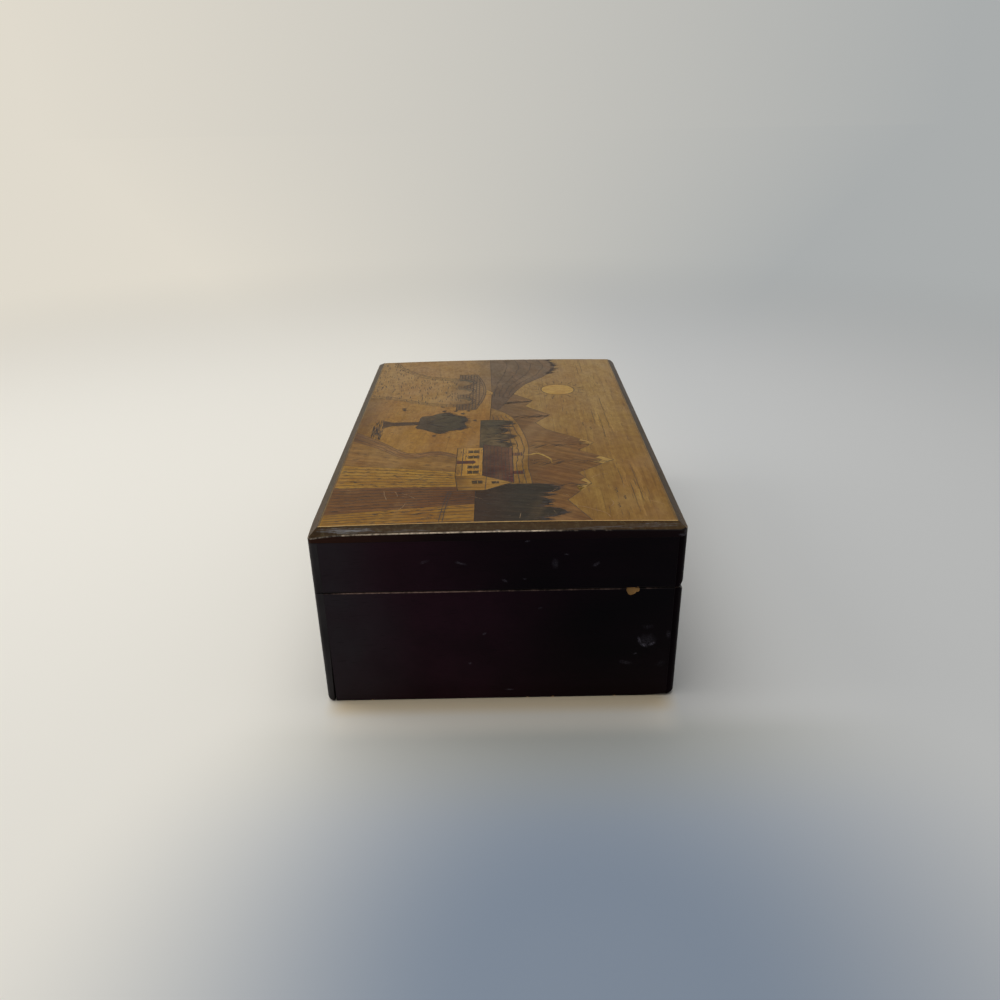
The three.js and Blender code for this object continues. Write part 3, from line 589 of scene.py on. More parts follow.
def opened_joint(bm):
    """Springs the front board's lip off the right-hand end at the foot, and wears the corners."""
    cut_levels(bm, 2, (5, 10, 18, SPRUNG_HEIGHT))
    worn_foot(bm, 1.2, 1.8)
    inner_face = LIP - HALF_WIDTH
    for v in bm.verts:
        p = v.co / MM
        if p.x > HALF_LENGTH - LIP - 0.1 and p.y < inner_face + 0.02 and p.z < SPRUNG_HEIGHT:
            if p.y > inner_face - 0.1:
                v.co.y -= SPRUNG_GAP * (1 - p.z / SPRUNG_HEIGHT) ** 1.15 * MM
            if p.z < 0.3:
                v.co.z += SPRUNG_LIFT * MM


def dipped_corner(axis):
    """Wears down the arris of the bevelled border where the front and the right-hand strip meet."""
    corner = (HALF_LENGTH, -HALF_WIDTH)
    inward = (-1, 1)[axis]

    def shape(bm):
        cut_levels(bm, axis, [corner[axis] + inward * d for d in (4, 6, 8, 10.5, DIP_REACH)])
        for v in bm.verts:
            p = v.co / MM
            away = corner[0] - p.x + p.y - corner[1]
            outward = max(p.x - corner[0], corner[1] - p.y) / LIP + 1
            if p.z > STRIP_BOTTOM + 1 and away < DIP_REACH and outward > 0:
                v.co.z -= DIP_DEPTH * outward * (1 - away / DIP_REACH) ** 1.8 * MM
    return shape


SHAPES = {
    "base_front": opened_joint, "base_back": worn_back, "base_right": raised_heel,
    "strip_front": dipped_corner(0), "strip_right": dipped_corner(1),
}

# Chips in the right-hand end of the base: y, z, half width, depth, half height. The second runs into the lid.
CHIPS = (
    (46.3, RIM - 0.3, 1.9, 0.8, 2.3), (48.3, RIM - 0.5, 0.7, 0.45, 1), (9.8, 0.1, 0.5, 0.4, 0.45),
    (19.3, 0.1, 0.6, 0.4, 0.5), (42.2, 0.1, 0.5, 0.35, 0.4), (-48, 0.1, 0.4, 0.3, 0.4),
)


def make_chip(name, place, sizes, material, seed):
    """A scalloped cutter: a lumpy ball, scaled. It isn't part of the box and is deleted later."""
    bm = bmesh.new()
    bmesh.ops.create_icosphere(bm, subdivisions=4, radius=1)
    for v in bm.verts:
        v.co *= 1 + 0.16 * noise.noise(v.co * 1.6 + Vector((seed, 0, 0))) + 0.05 * noise.noise(v.co * 5)
        v.co = Vector([v.co[i] * sizes[i] + place[i] for i in range(3)]) * MM
    return meshed(name, bm, [material])


def build_board(body, side, seed, raw, inner, cutters):
    board = f"{body}_{side}"
    turn = GRAIN[side]
    gloss = 0.2 if side == "back" else 0.8
    stain = stained_board(f"{board}_wood", turn, seed, SCUFFS_AND_SHEEN.get(board, ()), 0, PAINTED_LIGHT.get(board, ()), gloss)
    if body == "base":
        fades = RIM_FADES if side == "right" else ()
        edge = worn_edge(f"{board}_edge", turn, "a08276", seed, 0.17, fades, RIM)
    else:
        edge = worn_edge(f"{board}_edge", turn, "4a2a20", seed, 0.2)
    softened(f"{board}_board", board, [stain, edge, raw, inner], body, board_wear, board_skin,
             cutters, SHAPES.get(board))


def build_strip(side, seed):
    """A bevelled strip of the lid's border."""
    strip, wood, turn = f"strip_{side}", f"edging_{side}", GRAIN[side]
    bare, share, fades = ("f6e0c6", 1.3, ARRIS_FADES) if side == "right" else ("ae9172", 0.85, ())
    skins = [
        edging(wood, turn, seed, SCUFFS_AND_SHEEN.get(f"bevel_{side}", ()), 0.3 if turn == ALONG_Y else 0.8),
        worn_edge(f"{wood}_arris", turn, bare, seed + 9, share, fades),
        stained_board(f"{wood}_face", turn, seed + 8, SCUFFS_AND_SHEEN.get(strip, ()), 0.12, PAINTED_LIGHT.get(strip, ())),
    ]
    softened(f"edge_{strip}", f"bevelled_edge_{side}", skins, "lid", strip_wear, strip_skin,
             shape=SHAPES.get(strip))


def build_boards():
    raw = bare_wood("bare_chip", "d2a76c", "a5743c", ALONG_Y, 0.8)
    cutters = [make_chip(f"chip_{i}", (HALF_LENGTH, y, z), (deep, wide, tall), raw, i)
               for i, (y, z, wide, deep, tall) in enumerate(CHIPS)]
    chipped = {"base_right": cutters, "lid_right": cutters[1:2]}
    for i, side in enumerate(SIDES):
        inner = stained_board(f"inner_{side}", GRAIN[side], i, (), 0.6)
        for body, seed in (("base", i), ("lid", i + 4)):
            build_board(body, side, seed, raw, inner, chipped.get(f"{body}_{side}", ()))
        build_strip(side, i)
    for cutter in cutters:
        bpy.data.objects.remove(cutter)


# Each veneer: pale, dark, grain angle, band width, contrast, pores, and where it has them ripple and scorch
VENEERS = {
    "sky": ("937437", "7c5c2a", 0, 2.4, 0.8, 0.15),
    "sun": ("b18d3e", "987930", 90, 2, 0.6, 0.1),
    "mountains": ("8a6536", "684a26", 62, 2.6, 1, 0.4, 0, (24, 2)),
    "left_hill": ("5d3d2a", "41271b", 14, 3.4, 1.1, 0.4, 0, (16, -6)),
    "middle_hill": ("937030", "76561f", -8, 3, 0.9, 0.25, 0.2, (7, -7)),
    "meadow_left": ("916c30", "785420", 5, 5, 0.8, 0.2, 0.3, (-18, -3)),
    "meadow_middle": ("976f27", "7c5719", -4, 6, 0.8, 0.2, 0.3, (-46, -62)),
    "field_1": ("947038", "785829", 72, 2, 1, 0.4, 0, (-24, -4)),
    "field_2": ("a17c2f", "866221", 84, 2.6, 0.8, 0.15),
    "field_3": ("80592f", "634220", 88, 2.2, 1.1, 0.4, 0, (-24, -4)),
    "field_4": ("99722a", "7e5b1d", 96, 2.4, 0.8, 0.2),
    "river_far": ("9d7c39", "85652a", 30, 1.6, 0.8, 0.1, 0.3, (-3, -10)),
    "river_near": ("977539", "7c5c2a", 2, 2.2, 0.8, 0.1, 0.5, (-28, -15)),
    "path": ("8a653a", "6c4d2a", 60, 3, 0.8, 0.3, 0, (-48, -62)),
    "trees_row": ("3f3929", "2a261b", 90, 1.6, 1, 0.4),
    "trees_by_house": ("3c3527", "282319", 80, 1.8, 1, 0.4, 0, (10, -8)),
    "bridge": ("70522f", "543c20", 0, 1.8, 0.9, 0.4, 0, (-10, -19)),
    "house_gable": ("997533", "805f26", 90, 1.5, 0.7, 0.1, 0, (-8, -17)),
    "house_wall": ("b1893a", "99712b", 0, 1.4, 0.7, 0.1, 0, (-11, -17)),
    "house_roof": ("61342a", "45211a", 70, 1.2, 1, 0.4, 0, (3, -6)),
    "oak_trunk": ("4b2f19", "331e0e", 88, 1, 1, 0.4),
    "oak_crown": ("3f3a29", "2c281d", 40, 2, 1, 0.4, 0, (-18, -38)),
}
# Each side's stringing: grain angle, pale, dark
STRINGING = {
    "front": (0, "7f6842", "5f4c2e"), "back": (0, "8f7346", "6b5430"),
    "left": (90, "b39458", "8f7240"), "right": (90, "d8b678", "ae8c54"),
}


def dress_nodes():
    """Gives the CAD nodes that stay their materials."""
    def give(node, material):
        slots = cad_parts[node].data.materials
        slots.clear()
        slots.append(material)

    for seed, (name, (pale, dark, angle, *rest)) in enumerate(VENEERS.items()):
        give(f"veneer_{name}", veneer(f"veneer_{name}", pale, dark, angle, seed, *rest))
    for side, (angle, pale, dark) in STRINGING.items():
        give(f"stringing_{side}", veneer(f"stringing_{side}", pale, dark, angle, 5, 3.0, 0.7, 0.1))
    ply = bare_wood("birch_plywood", "a98452", "8a683e")
    brass = metal("aged_brass", "b48a44", "6e5128", 0.28)
    steel = metal("pin_steel", "8f8c86", "56524c", 0.35, 3)
    for node in ("bottom_panel", "lid_core"):
        give(node, ply)
    for hinge in ("hinge_left", "hinge_right"):
        give(f"{hinge}_pin", steel)
        for half in ("base", "lid"):
            for fitting in ("leaf", "screw_1", "screw_2"):
                give(f"{hinge}_{half}_{fitting}", brass)


# The drawing's lines and small inlays. Points are on the drawing's grid: X to the right, Y up, both from its
# middle, GRID steps to each edge.

GRID = (96, 60.5)
LINE = 0.55
FINE = 0.34
HAIR = 0.22


def spline(points, steps=6):
    """A smooth line through a few points."""
    points = [Vector(p) for p in points]
    line = []
    for i in range(len(points) - 1):
        a, b = points[i], points[i + 1]
        before = points[i - 1] if i else a
        after = points[i + 2] if i + 2 < len(points) else b
        for k in range(steps):
            t = k / steps
            line.append(0.5 * (2 * a + (b - before) * t + (2 * before - 5 * a + 4 * b - after) * t * t
                               + (3 * a - before - 3 * b + after) * t ** 3))
    return [*line, points[-1]]


def resampled(points, step=1.5):
    points = [Vector(p) for p in points]
    line = [points[0]]
    for a, b in zip(points, points[1:]):
        count = max(1, math.ceil((b - a).length / step))
        line += [a.lerp(b, k / count) for k in range(1, count + 1)]
    return line


def around(x, y, radius, degrees):
    """The point at a distance and an angle from a place."""
    a = math.radians(degrees)
    return (x + radius * math.cos(a), y + radius * math.sin(a))


def arc(x, y, radius, start=180.0, end=0.0, count=12):
    return [around(x, y, radius, start + (end - start) * k / count) for k in range(count + 1)]


def on_picture(p, z=0.0):
    """A point of the grid in millimetres."""
    return Vector((p[0] / GRID[0] * PICTURE_LENGTH, p[1] / GRID[1] * PICTURE_WIDTH, z))


def looks_up(face):
    return face.normal.z > 0.9


def find_veneers():
    """A function that names the veneer under a point of the grid."""
    points, faces, owners = [], [], []
    for name in VENEERS:
        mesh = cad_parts[f"veneer_{name}"].data
        start = len(points)
        points += [v.co / MM for v in mesh.vertices]
        for polygon in mesh.polygons:
            if looks_up(polygon):
                faces.append([start + i for i in polygon.vertices])
                owners.append(name)
    tree = BVHTree.FromPolygons(points, faces)

    def under(p):
        index = tree.ray_cast(on_picture(p, TOP_MIDDLE + 5), Vector((0, 0, -1)))[2]
        return None if index is None else owners[index]

    return under


class Layer:
    """Thin strokes and patches that follow the crowned picture, gathered into one piece."""

    def __init__(self, lift, under, seed):
        self.bm = bmesh.new()
        self.lift = lift
        self.under = under
        self.draw = random.Random(seed)

    def spot(self, p):
        return self.bm.verts.new(on_picture(p))

    def stroke(self, points, width=LINE, wobble=0.1, taper=1.0):
        """A ribbon along a line. It wavers a little and thins at its ends."""
        line = resampled(points)
        seed = Vector((self.draw.uniform(-50, 50), 0, 0))
        reach = [0.0]
        for a, b in zip(line, line[1:]):
            reach.append(reach[-1] + (b - a).length)
        sides = []
        for i, p in enumerate(line):
            ahead = (line[min(i + 1, len(line) - 1)] - line[max(i - 1, 0)]).normalized()
            across = Vector((-ahead.y, ahead.x))
            place = Vector((p.x, p.y, 0)) * 0.25 + seed
            p = p + across * wobble * noise.noise(place)
            end = min(reach[i], reach[-1] - reach[i])
            wide = width * (0.85 + 0.5 * noise.noise(place * 2)) * min(1, 0.35 + end / taper if taper else 1)
            sides.append((self.spot(p + across * wide / 2), self.spot(p - across * wide / 2)))
        for (a, b), (c, d) in zip(sides, sides[1:]):
            self.bm.faces.new((a, b, d, c))

    def rule(self, x0, y0, x1, y1, width):
        """A straight stroke as wide at its ends as in the middle."""
        self.stroke(((x0, y0), (x1, y1)), width, 0, 0)

    def on(self, names, p):
        name = self.under(p)
        return name == names if isinstance(names, str) else name in names

    def within(self, names, points, width=LINE, wobble=0.1, taper=1.0):
        """Those stretches of a stroke that lie on the named veneer or veneers."""
        run = []
        for p in [*resampled(points, 0.5), None]:
            if p is not None and self.on(names, p):
                run.append(p)
                continue
            if len(run) > 3:
                self.stroke(run[::3] + [run[-1]], width, wobble, taper)
            run = []

    def hatch(self, name, box, count, length, angle, width=FINE, spread=8):
        """Short strokes scattered over the named veneer, at an angle in degrees."""
        x0, y0, x1, y1 = box
        for _ in range(count):
            middle = Vector((self.draw.uniform(x0, x1), self.draw.uniform(y0, y1)))
            a = math.radians(self.draw.gauss(angle, spread))
            half = Vector((math.cos(a), math.sin(a))) * self.draw.uniform(0.4, 1) * length / 2
            if all(self.under(p) == name for p in (middle - half, middle, middle + half)):
                self.stroke((middle - half, middle + half), width * self.draw.uniform(0.7, 1.2), 0.15)

    def top_of(self, name, x, top):
        """The highest point of a veneer at a place along X, looked for from a height downwards."""
        return next((top - 0.25 * n for n in range(160) if self.under((x, top - 0.25 * n)) == name), None)

    def patch(self, outline):
        face = self.bm.faces.new([self.spot(p) for p in outline])
        bmesh.ops.triangulate(self.bm, faces=[face])

    def pane(self, x0, y0, x1, y1):
        self.patch([(x0, y0), (x1, y0), (x1, y1), (x0, y1)])

    def finish(self, name, material, slot):
        for y in range(-60, 61, 3):
            geometry = [*self.bm.verts, *self.bm.edges, *self.bm.faces]
            bmesh.ops.bisect_plane(self.bm, geom=geometry, dist=1e-5, plane_co=(0, y, 0), plane_no=(0, 1, 0))
        for v in self.bm.verts:
            x = max(-PICTURE_LENGTH, min(PICTURE_LENGTH, v.co.x))
            y = max(-PICTURE_WIDTH, min(PICTURE_WIDTH, v.co.y))
            v.co = Vector((x, y, TOP_MIDDLE - CROWN * (y / HALF_WIDTH) ** 2 + self.lift)) * MM
        for face in self.bm.faces:
            face.normal_update()
            if face.normal.z < 0:
                face.normal_flip()
        make_piece(name, self.bm, [material], "lid")


MOUNTAIN_LINE = (
    (-40, 6), (-28, 17), (-20, 13), (-8, 24), (2, 17), (10, 21), (26, 40), (34, 33), (44, 46), (56, 31),
    (66, 35), (80, 25), (98, 33),
)
SNOW_LINE = 30
FIELD_TOP, FIELD_FOOT = -6, -62.5
# Each ploughed field: furrows, their width, then its left and its right edge as X at its top and its foot
FIELDS = {
    "field_2": (6, FINE, (56, 44), (68, 66)), "field_3": (7, 0.3, (68, 66), (82, 88)),
    "field_4": (5, FINE, (82, 88), (98, 98)),
}
PATH = ((43, -11, 1.3), (35, -23, 1.9), (37, -36, 2.8), (24, -49, 3.9), (12, -62.5, 5))  # X, Y, width
# The lines along each hill: veneer, width, wobble, then X, Y and how much further down each next line goes
SLOPES = (
    ("left_hill", 0.3, 0.8, ((-98, 27, 6), (-84, 31, 6.3), (-68, 26, 5.6), (-52, 14, 3.4), (-34, 7, 2))),
    ("middle_hill", FINE, 0.7,
     ((-8, 6, 2), (12, 11, 2.6), (30, 13, 2.2), (50, 12, 2.2), (70, 13, 2.4), (98, 9, 2))),
)
LEFT_BANK = ((-64, -10), (-64, -22), (-70, -36), (-84, -48), (-98, -54))
RIGHT_BANK = ((-38, -62.5), (-34, -50), (-26, -36), (-21, -22), (-21, -10))
BRIDGE_LEFT, BRIDGE_RIGHT = -70, -16
BRIDGE_DECK = ((BRIDGE_LEFT, -9.5), (-56, -6.2), (-43, -5), (-30, -6.2), (BRIDGE_RIGHT, -9.5))
ARCHES = (-57, -43, -29)
ARCH_SPRING, ARCH_RADIUS, WATER = -16.5, 5, -18.4
HOUSE_CORNER, HOUSE_RIDGE = 58, 6.2
SILL, LINTEL, WINDOW_WIDTH = -11.2, -7.4, 2.6
DOORSTEP = -15.8
CHIMNEYS, CHIMNEY_WIDTH = (36, 54), 3
SUN, SUN_RADIUS = (-44, 30), 8.05
# Each stand of trees: veneer, left, right, top, foot, leaf strokes
TREES = (
    ("trees_row", -2, 31, 10, -7, 110), ("trees_by_house", 66, 96, 26, -8, 190),
    ("oak_crown", -13, 13, -11, -37, 130),
)
CLOUDS = (  # X, Y, half length
    (-10, 50, 24), (6, 47, 18), (-4, 44.4, 12), (66, 53, 20), (78, 50.4, 15), (60, 47.6, 9), (-82, 46, 15),
    (-76, 43.6, 10),
)
BIRDS = (  # X, Y, size
    (4, 37, 1.9), (9, 40, 1.5), (0, 41, 1.3), (72, 42.5, 2.0), (78, 45, 1.5), (84.5, 42, 1.7),
)
DEEP_SCRATCHES = (
    ((84, 26), (86, 31), (89, 35)), ((88, 34), (90.5, 37.5), (94, 38.6)), ((79, 40), (83, 41), (86, 39.5)),
    ((90, 8), (94, 7.4)),
)


def glue_lines(under):
    """The dark joints between veneers, along the outlines of their upper faces."""
    layer = Layer(GLUE_LIFT, under, 1)
    done = set()
    for name in VENEERS:
        bm = bmesh.new()
        bm.from_mesh(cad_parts[f"veneer_{name}"].data)
        bmesh.ops.remove_doubles(bm, verts=bm.verts, dist=0.001 * MM)
        for edge in bm.edges:
            if sum(map(looks_up, edge.link_faces)) != 1:
                continue
            a, b = (Vector((v.co.x / PICTURE_LENGTH * GRID[0], v.co.y / PICTURE_WIDTH * GRID[1])) / MM
                    for v in edge.verts)
            key = frozenset((round(p.x, 1), round(p.y, 1)) for p in (a, b))
            if key in done or (a - b).length < 0.05:
                continue
            done.add(key)
            ahead = (b - a).normalized() * 0.06
            layer.stroke((a - ahead, b + ahead), 0.27, 0, 0)
        bm.free()
    return layer


def engrave_land(pen):
    """Furrows, tufts, contour lines and ripples."""
    draw = pen.draw
    for name, (rows, width, (top_a, foot_a), (top_b, foot_b)) in FIELDS.items():
        for k in range(1, rows + 1):
            t = k / (rows + 1)
            line = ((top_a + (top_b - top_a) * t, FIELD_TOP), (foot_a + (foot_b - foot_a) * t, FIELD_FOOT))
            pen.within(name, line, width, 0.35)
    pen.hatch("field_2", (44, -60, 70, -10), 260, 2.2, 84, FINE, 12)
    pen.hatch("field_4", (80, -60, 96, -8), 90, 2.6, 94, FINE, 10)
    pen.hatch("field_1", (14, -60, 58, -8), 240, 3.0, 72, HAIR, 6)
    pen.hatch("field_3", (64, -60, 90, -8), 160, 3.0, 88, 0.24, 4)
    for shift in (-0.45, 0.45):
        pen.within("path", spline([(x + shift * w, y) for x, y, w in PATH]), 0.3, 0.5)
    pen.hatch("path", (8, -60, 46, -10), 70, 1.6, 70, FINE, 25)
    pen.hatch("meadow_middle", (-40, -60, 40, -5), 230, 1.7, 80, FINE, 22)
    pen.hatch("meadow_left", (-96, -60, -43, -4), 200, 1.7, 82, FINE, 22)
    for _ in range(16):
        x, y = draw.uniform(-38, 28), draw.uniform(-58, -10)
        for lean in (-0.7, -0.25, 0.2, 0.7):
            pen.within("meadow_middle", ((x + lean * 0.4, y), (x + lean * 1.6, y + draw.uniform(1.4, 2.4))))
    for k in range(1, 5):
        for name, width, wobble, slope in SLOPES:
            pen.within(name, spline([(x, y - k * fall) for x, y, fall in slope]), width, wobble)
    pen.hatch("left_hill", (-96, -4, -10, 30), 200, 2.6, 60, HAIR, 14)
    pen.hatch("middle_hill", (-20, -4, 96, 12), 190, 1.5, 78, FINE, 16)
    for shift in (0, 1.4, 3.1):
        pen.within("river_near", spline([(x + shift, y - 0.3 * shift) for x, y in LEFT_BANK]), FINE, 0.5)
        pen.within("river_near", spline([(x - shift, y) for x, y in RIGHT_BANK]), FINE, 0.5)
    pen.hatch("river_near", (-96, -60, -21, -16), 330, 4.0, 2, FINE, 4)
    pen.hatch("river_far", (-54, -12, -30, 0), 24, 2.4, 8, FINE, 5)


def engrave_mountains(pen, snow):
    """Ridges that run down from the peaks, shading beside them and snow on the highest."""
    draw = pen.draw
    for i in range(1, len(MOUNTAIN_LINE) - 1):
        before, peak, after = (Vector(MOUNTAIN_LINE[j]) for j in (i - 1, i, i + 1))
        if peak.y < before.y or peak.y < after.y:
            continue
        ridge = [peak]
        side = 1
        while ridge[-1].y > 0:
            ridge.append(ridge[-1] + Vector((side * draw.uniform(0.8, 2.4), -draw.uniform(2.5, 4.5))))
            side = -side
        pen.within("mountains", ridge, 0.3, 0.2)
        for _ in range(34):
            t = draw.random() ** 1.3
            start = peak + Vector((0.6 + t * 1.5, -t * (peak.y - 4)))
            reach = draw.uniform(2.5, 7) * (0.5 + t)
            pen.within("mountains", (start, start + Vector((0.62, -0.78)) * reach), 0.2, 0.2)
        if peak.y < SNOW_LINE:
            continue
        left, right = peak.lerp(before, min(0.5, 6.5 / (peak - before).length)), peak.lerp(after, 0.5)
        zigzag = ((0.25, 2), (0.42, -2.2), (0.6, 1.6), (0.8, -1.6))
        edge = [right, *(right.lerp(left, t) + Vector((0, rise)) for t, rise in zigzag), left]
        snow.patch([peak - Vector((0, 0.15)), *edge][::-1])
        for a, b in zip(edge, edge[1:]):
            pen.within("mountains", (a, b), FINE, 0)


def engrave_trees(pen):
    """Leaf strokes on the crowns, and twigs that stand out along the treetops."""
    draw = pen.draw
    for name, x0, x1, top, foot, count in TREES:
        pen.hatch(name, (x0, foot, x1, top), count, 3.0, 88, 0.3, 16)
        for _ in range(round((x1 - x0) * 2.6)):
            x = draw.uniform(x0, x1)
            y = pen.top_of(name, x, top)
            if y is not None:
                tip = (x + draw.uniform(-0.5, 0.5), y + draw.uniform(0.6, 2.6))
                pen.stroke(((x, y - 2.5), tip), 0.42, 0.1, 2.2)
    for x, y in ((-5, -27), (4, -26), (0, -21), (-7, -21), (6, -19)):
        pen.stroke(((0, -31), (x * 0.4, -28), (x, y)), 0.45, 0.3, 3)
    for x in (-0.7, 0.1, 0.9):
        pen.within("oak_trunk", ((x, -31), (x * 1.3, -46), (x * 3, -50)), FINE, 0.3)
    pen.hatch("meadow_middle", (-4, -54, 24, -49), 170, 5.0, 3, 0.26, 3)
    for _ in range(26):
        x = draw.uniform(-96, -62)
        y = pen.top_of("left_hill", x, 32)
        if y is not None:
            tall = draw.uniform(1.2, 3.4)
            for lean in (-0.5, 0, 0.5):
                pen.stroke(((x + lean * 1.2, y - 1.4), (x, y + tall)), 0.35, 0, 2)


def engrave_bridge(pen, dark):
    """Arches with their ring of stones, a shaded side to each, the deck and courses of stone."""
    ring = ARCH_RADIUS + 1.5
    for x in ARCHES:
        pen.stroke(arc(x, ARCH_SPRING, ARCH_RADIUS + 0.05), 0.3, 0.05)
        pen.within("bridge", arc(x, ARCH_SPRING, ring), FINE, 0.1)
        for k in range(1, 10):
            ends = [around(x, ARCH_SPRING, radius, 18 * k) for radius in (ARCH_RADIUS, ring)]
            pen.within("bridge", ends, FINE, 0, 0)
        outer = arc(x, ARCH_SPRING, ARCH_RADIUS - 0.1, 180, 100, 6)
        inner = arc(x + 1.3, ARCH_SPRING - 0.6, ARCH_RADIUS - 0.9, 100, 180, 6)
        dark.patch([*outer, *inner, (x + 1.3 - ARCH_RADIUS + 0.9, WATER), (x - ARCH_RADIUS + 0.1, WATER)])
    for drop, width in ((1.1, 0.28), (0.0, 0.34)):
        deck = spline([(x, y - drop) for x, y in BRIDGE_DECK])
        pen.within(("bridge", "meadow_left", "meadow_middle", "river_far"), deck, width)
    for row in range(7):
        y = -8.2 - 1.5 * row
        pen.within("bridge", ((BRIDGE_LEFT, y), (BRIDGE_RIGHT, y)), FINE, 0.15)
        for k in range(BRIDGE_LEFT, BRIDGE_RIGHT + 2, 3):
            x = k + 1.5 * (row % 2)
            pen.within("bridge", ((x, y), (x, y + 1.4)), FINE, 0, 0)


def engrave_house(pen, dark, pale, red):
    """Windows, a door, timbers, roof tiles, chimneys with smoke and a fence."""
    for x in (33, 38.6, 48.4, 53.4):
        dark.pane(x, SILL, x + WINDOW_WIDTH, LINTEL)
        pale.rule(x + 1.3, SILL, x + 1.3, LINTEL, HAIR)
        pale.rule(x, -9.4, x + WINDOW_WIDTH, -9.4, HAIR)
        pen.rule(x - 0.5, SILL - 0.2, x + 3.1, SILL - 0.2, 0.3)
        pen.rule(x - 0.3, LINTEL + 0.2, x + 2.9, LINTEL + 0.2, FINE)
    red.patch([(43.4, DOORSTEP), (46.4, DOORSTEP), (46.4, -9), (44.9, -8.2), (43.4, -9)])
    for x in (44.15, 44.9, 45.65):
        pen.rule(x, DOORSTEP, x, -8.8, FINE)
    for y in (-13.6, -5.6):
        pen.within("house_wall", ((30, y), (HOUSE_CORNER, y)), FINE, 0.1)
    pen.hatch("house_wall", (30, -16, HOUSE_CORNER, -4), 90, 1.8, 0, FINE, 3)
    dark.patch([(62.6, -9.6), (65.2, -9.3), (65.2, -5.4), (62.6, -5.6)])
    dark.patch([(63.4, -2.2), (65.4, -2.0), (65.4, 0.8), (63.4, 0.6)])
    pale.rule(63.9, -9.5, 63.9, -5.5, HAIR)
    pale.rule(62.6, -7.4, 65.2, -7.2, HAIR)
    for timber in (
        ((HOUSE_CORNER, -4), (71, -4.5)), ((60.6, -4.1), (60.6, -15.7)), ((68.4, -4.4), (68.4, -14.9)),
        ((60.6, -10), (64.4, -4.3)), ((64.4, 5), (64.4, 1)),
    ):
        pen.within("house_gable", timber, 0.32, 0.1)
    left = [Vector(p) for p in ((26.5, -5.5), (31, HOUSE_RIDGE))]
    right = [Vector(p) for p in ((HOUSE_CORNER, -5.5), (64.8, HOUSE_RIDGE))]
    for k in range(1, 8):
        a, b = left[0].lerp(left[1], k / 8), right[0].lerp(right[1], k / 8)
        pen.within("house_roof", (a, b), 0.2, 0.15)
        for n in range(24):
            p = a.lerp(b, (n + 0.5 * (k % 2) + 0.25) / 24)
            pen.within("house_roof", (p, p + Vector((-0.45, -1.4))), FINE, 0, 0)
    pen.stroke((left[1], right[1]), 0.4, 0.05)
    pen.stroke((left[0], right[0]), 0.34, 0.05)
    pen.stroke((right[0], right[1], (71.6, -5)), 0.45, 0.05)
    for x in CHIMNEYS:
        red.pane(x, 4.6, x + CHIMNEY_WIDTH, 9.8)
        for y in (6.2, 7.6, 9.0):
            pen.rule(x, y, x + CHIMNEY_WIDTH, y, FINE)
        pen.rule(x - 0.4, 9.9, x + 3.4, 9.9, 0.4)
    smoke = spline([(37.5, 10.2), (38.6, 13), (36.8, 16), (39.4, 19), (43, 21), (47, 21.5)])
    pale.stroke(smoke, 1.1, 0.4, 8)
    fence = [(72, -17.5), (78, -18.4), (84, -19), (90, -19.4), (95.6, -19.8)]
    for x, y in resampled(fence, 2.4):
        pen.stroke(((x, y - 1.4), (x, y + 1.6)), 0.4, 0.05, 0.3)
    for rise in (0.9, -0.3):
        pen.stroke([(x, y + rise) for x, y in fence], 0.28, 0.2)


def engrave_sky(pen, clouds):
    """Streaks of cloud, birds, the sun's rim and rays, and the sky's fine grain."""
    for x, y, reach in CLOUDS:
        third = reach / 3
        streak = [(x - reach, y - 0.4), (x - third, y + 0.5), (x + third, y - 0.2), (x + reach, y + 0.4)]
        clouds.within("sky", spline(streak), 1.9, 0.3, reach * 0.8)
        shade = [(x - reach * 0.9, y - 1.3), (x, y - 1.1), (x + reach * 0.8, y - 1.2)]
        pen.within("sky", spline(shade), 0.2, 0.3, 4)
    for x, y, size in BIRDS:
        for side in (-size, size):
            wing = spline([(x, y), (x + side * 0.5, y + size * 0.55), (x + side * 1.2, y + size * 0.2)], 4)
            pen.stroke(wing, 0.36, 0, 1.2)
    pen.within(("sky", "sun"), arc(*SUN, SUN_RADIUS, 0, 360, 40), FINE, 0.1)
    for k in range(18):
        ends = [around(*SUN, radius, 20 * k + 6) for radius in (9.4, 12.5 + 1.6 * (k % 2))]
        pen.within("sky", ends, FINE, 0.1)
    pen.hatch("sky", (-96, 6, 96, 60), 200, 7, 0, 0.13, 1.5)


def scratch_picture(under):
    """Old scratches in the lacquer."""
    layer = Layer(SCRATCH_LIFT, under, 4)
    draw = layer.draw
    for _ in range(46):
        x, y = draw.uniform(-94, 94), draw.uniform(-58, 58)
        a, length = draw.uniform(0, math.pi), draw.uniform(1.5, 9)
        bend = draw.uniform(-0.5, 0.5)
        line = [(x + t * length * math.cos(a + bend * t), y + t * length * math.sin(a + bend * t))
                for t in (0, 0.3, 0.6, 1)]
        layer.within(VENEERS, line, draw.uniform(0.08, 0.16), 0.3, 2)
    for line in DEEP_SCRATCHES:
        layer.within(VENEERS, spline(line), 0.2, 0.4, 2)
    return layer


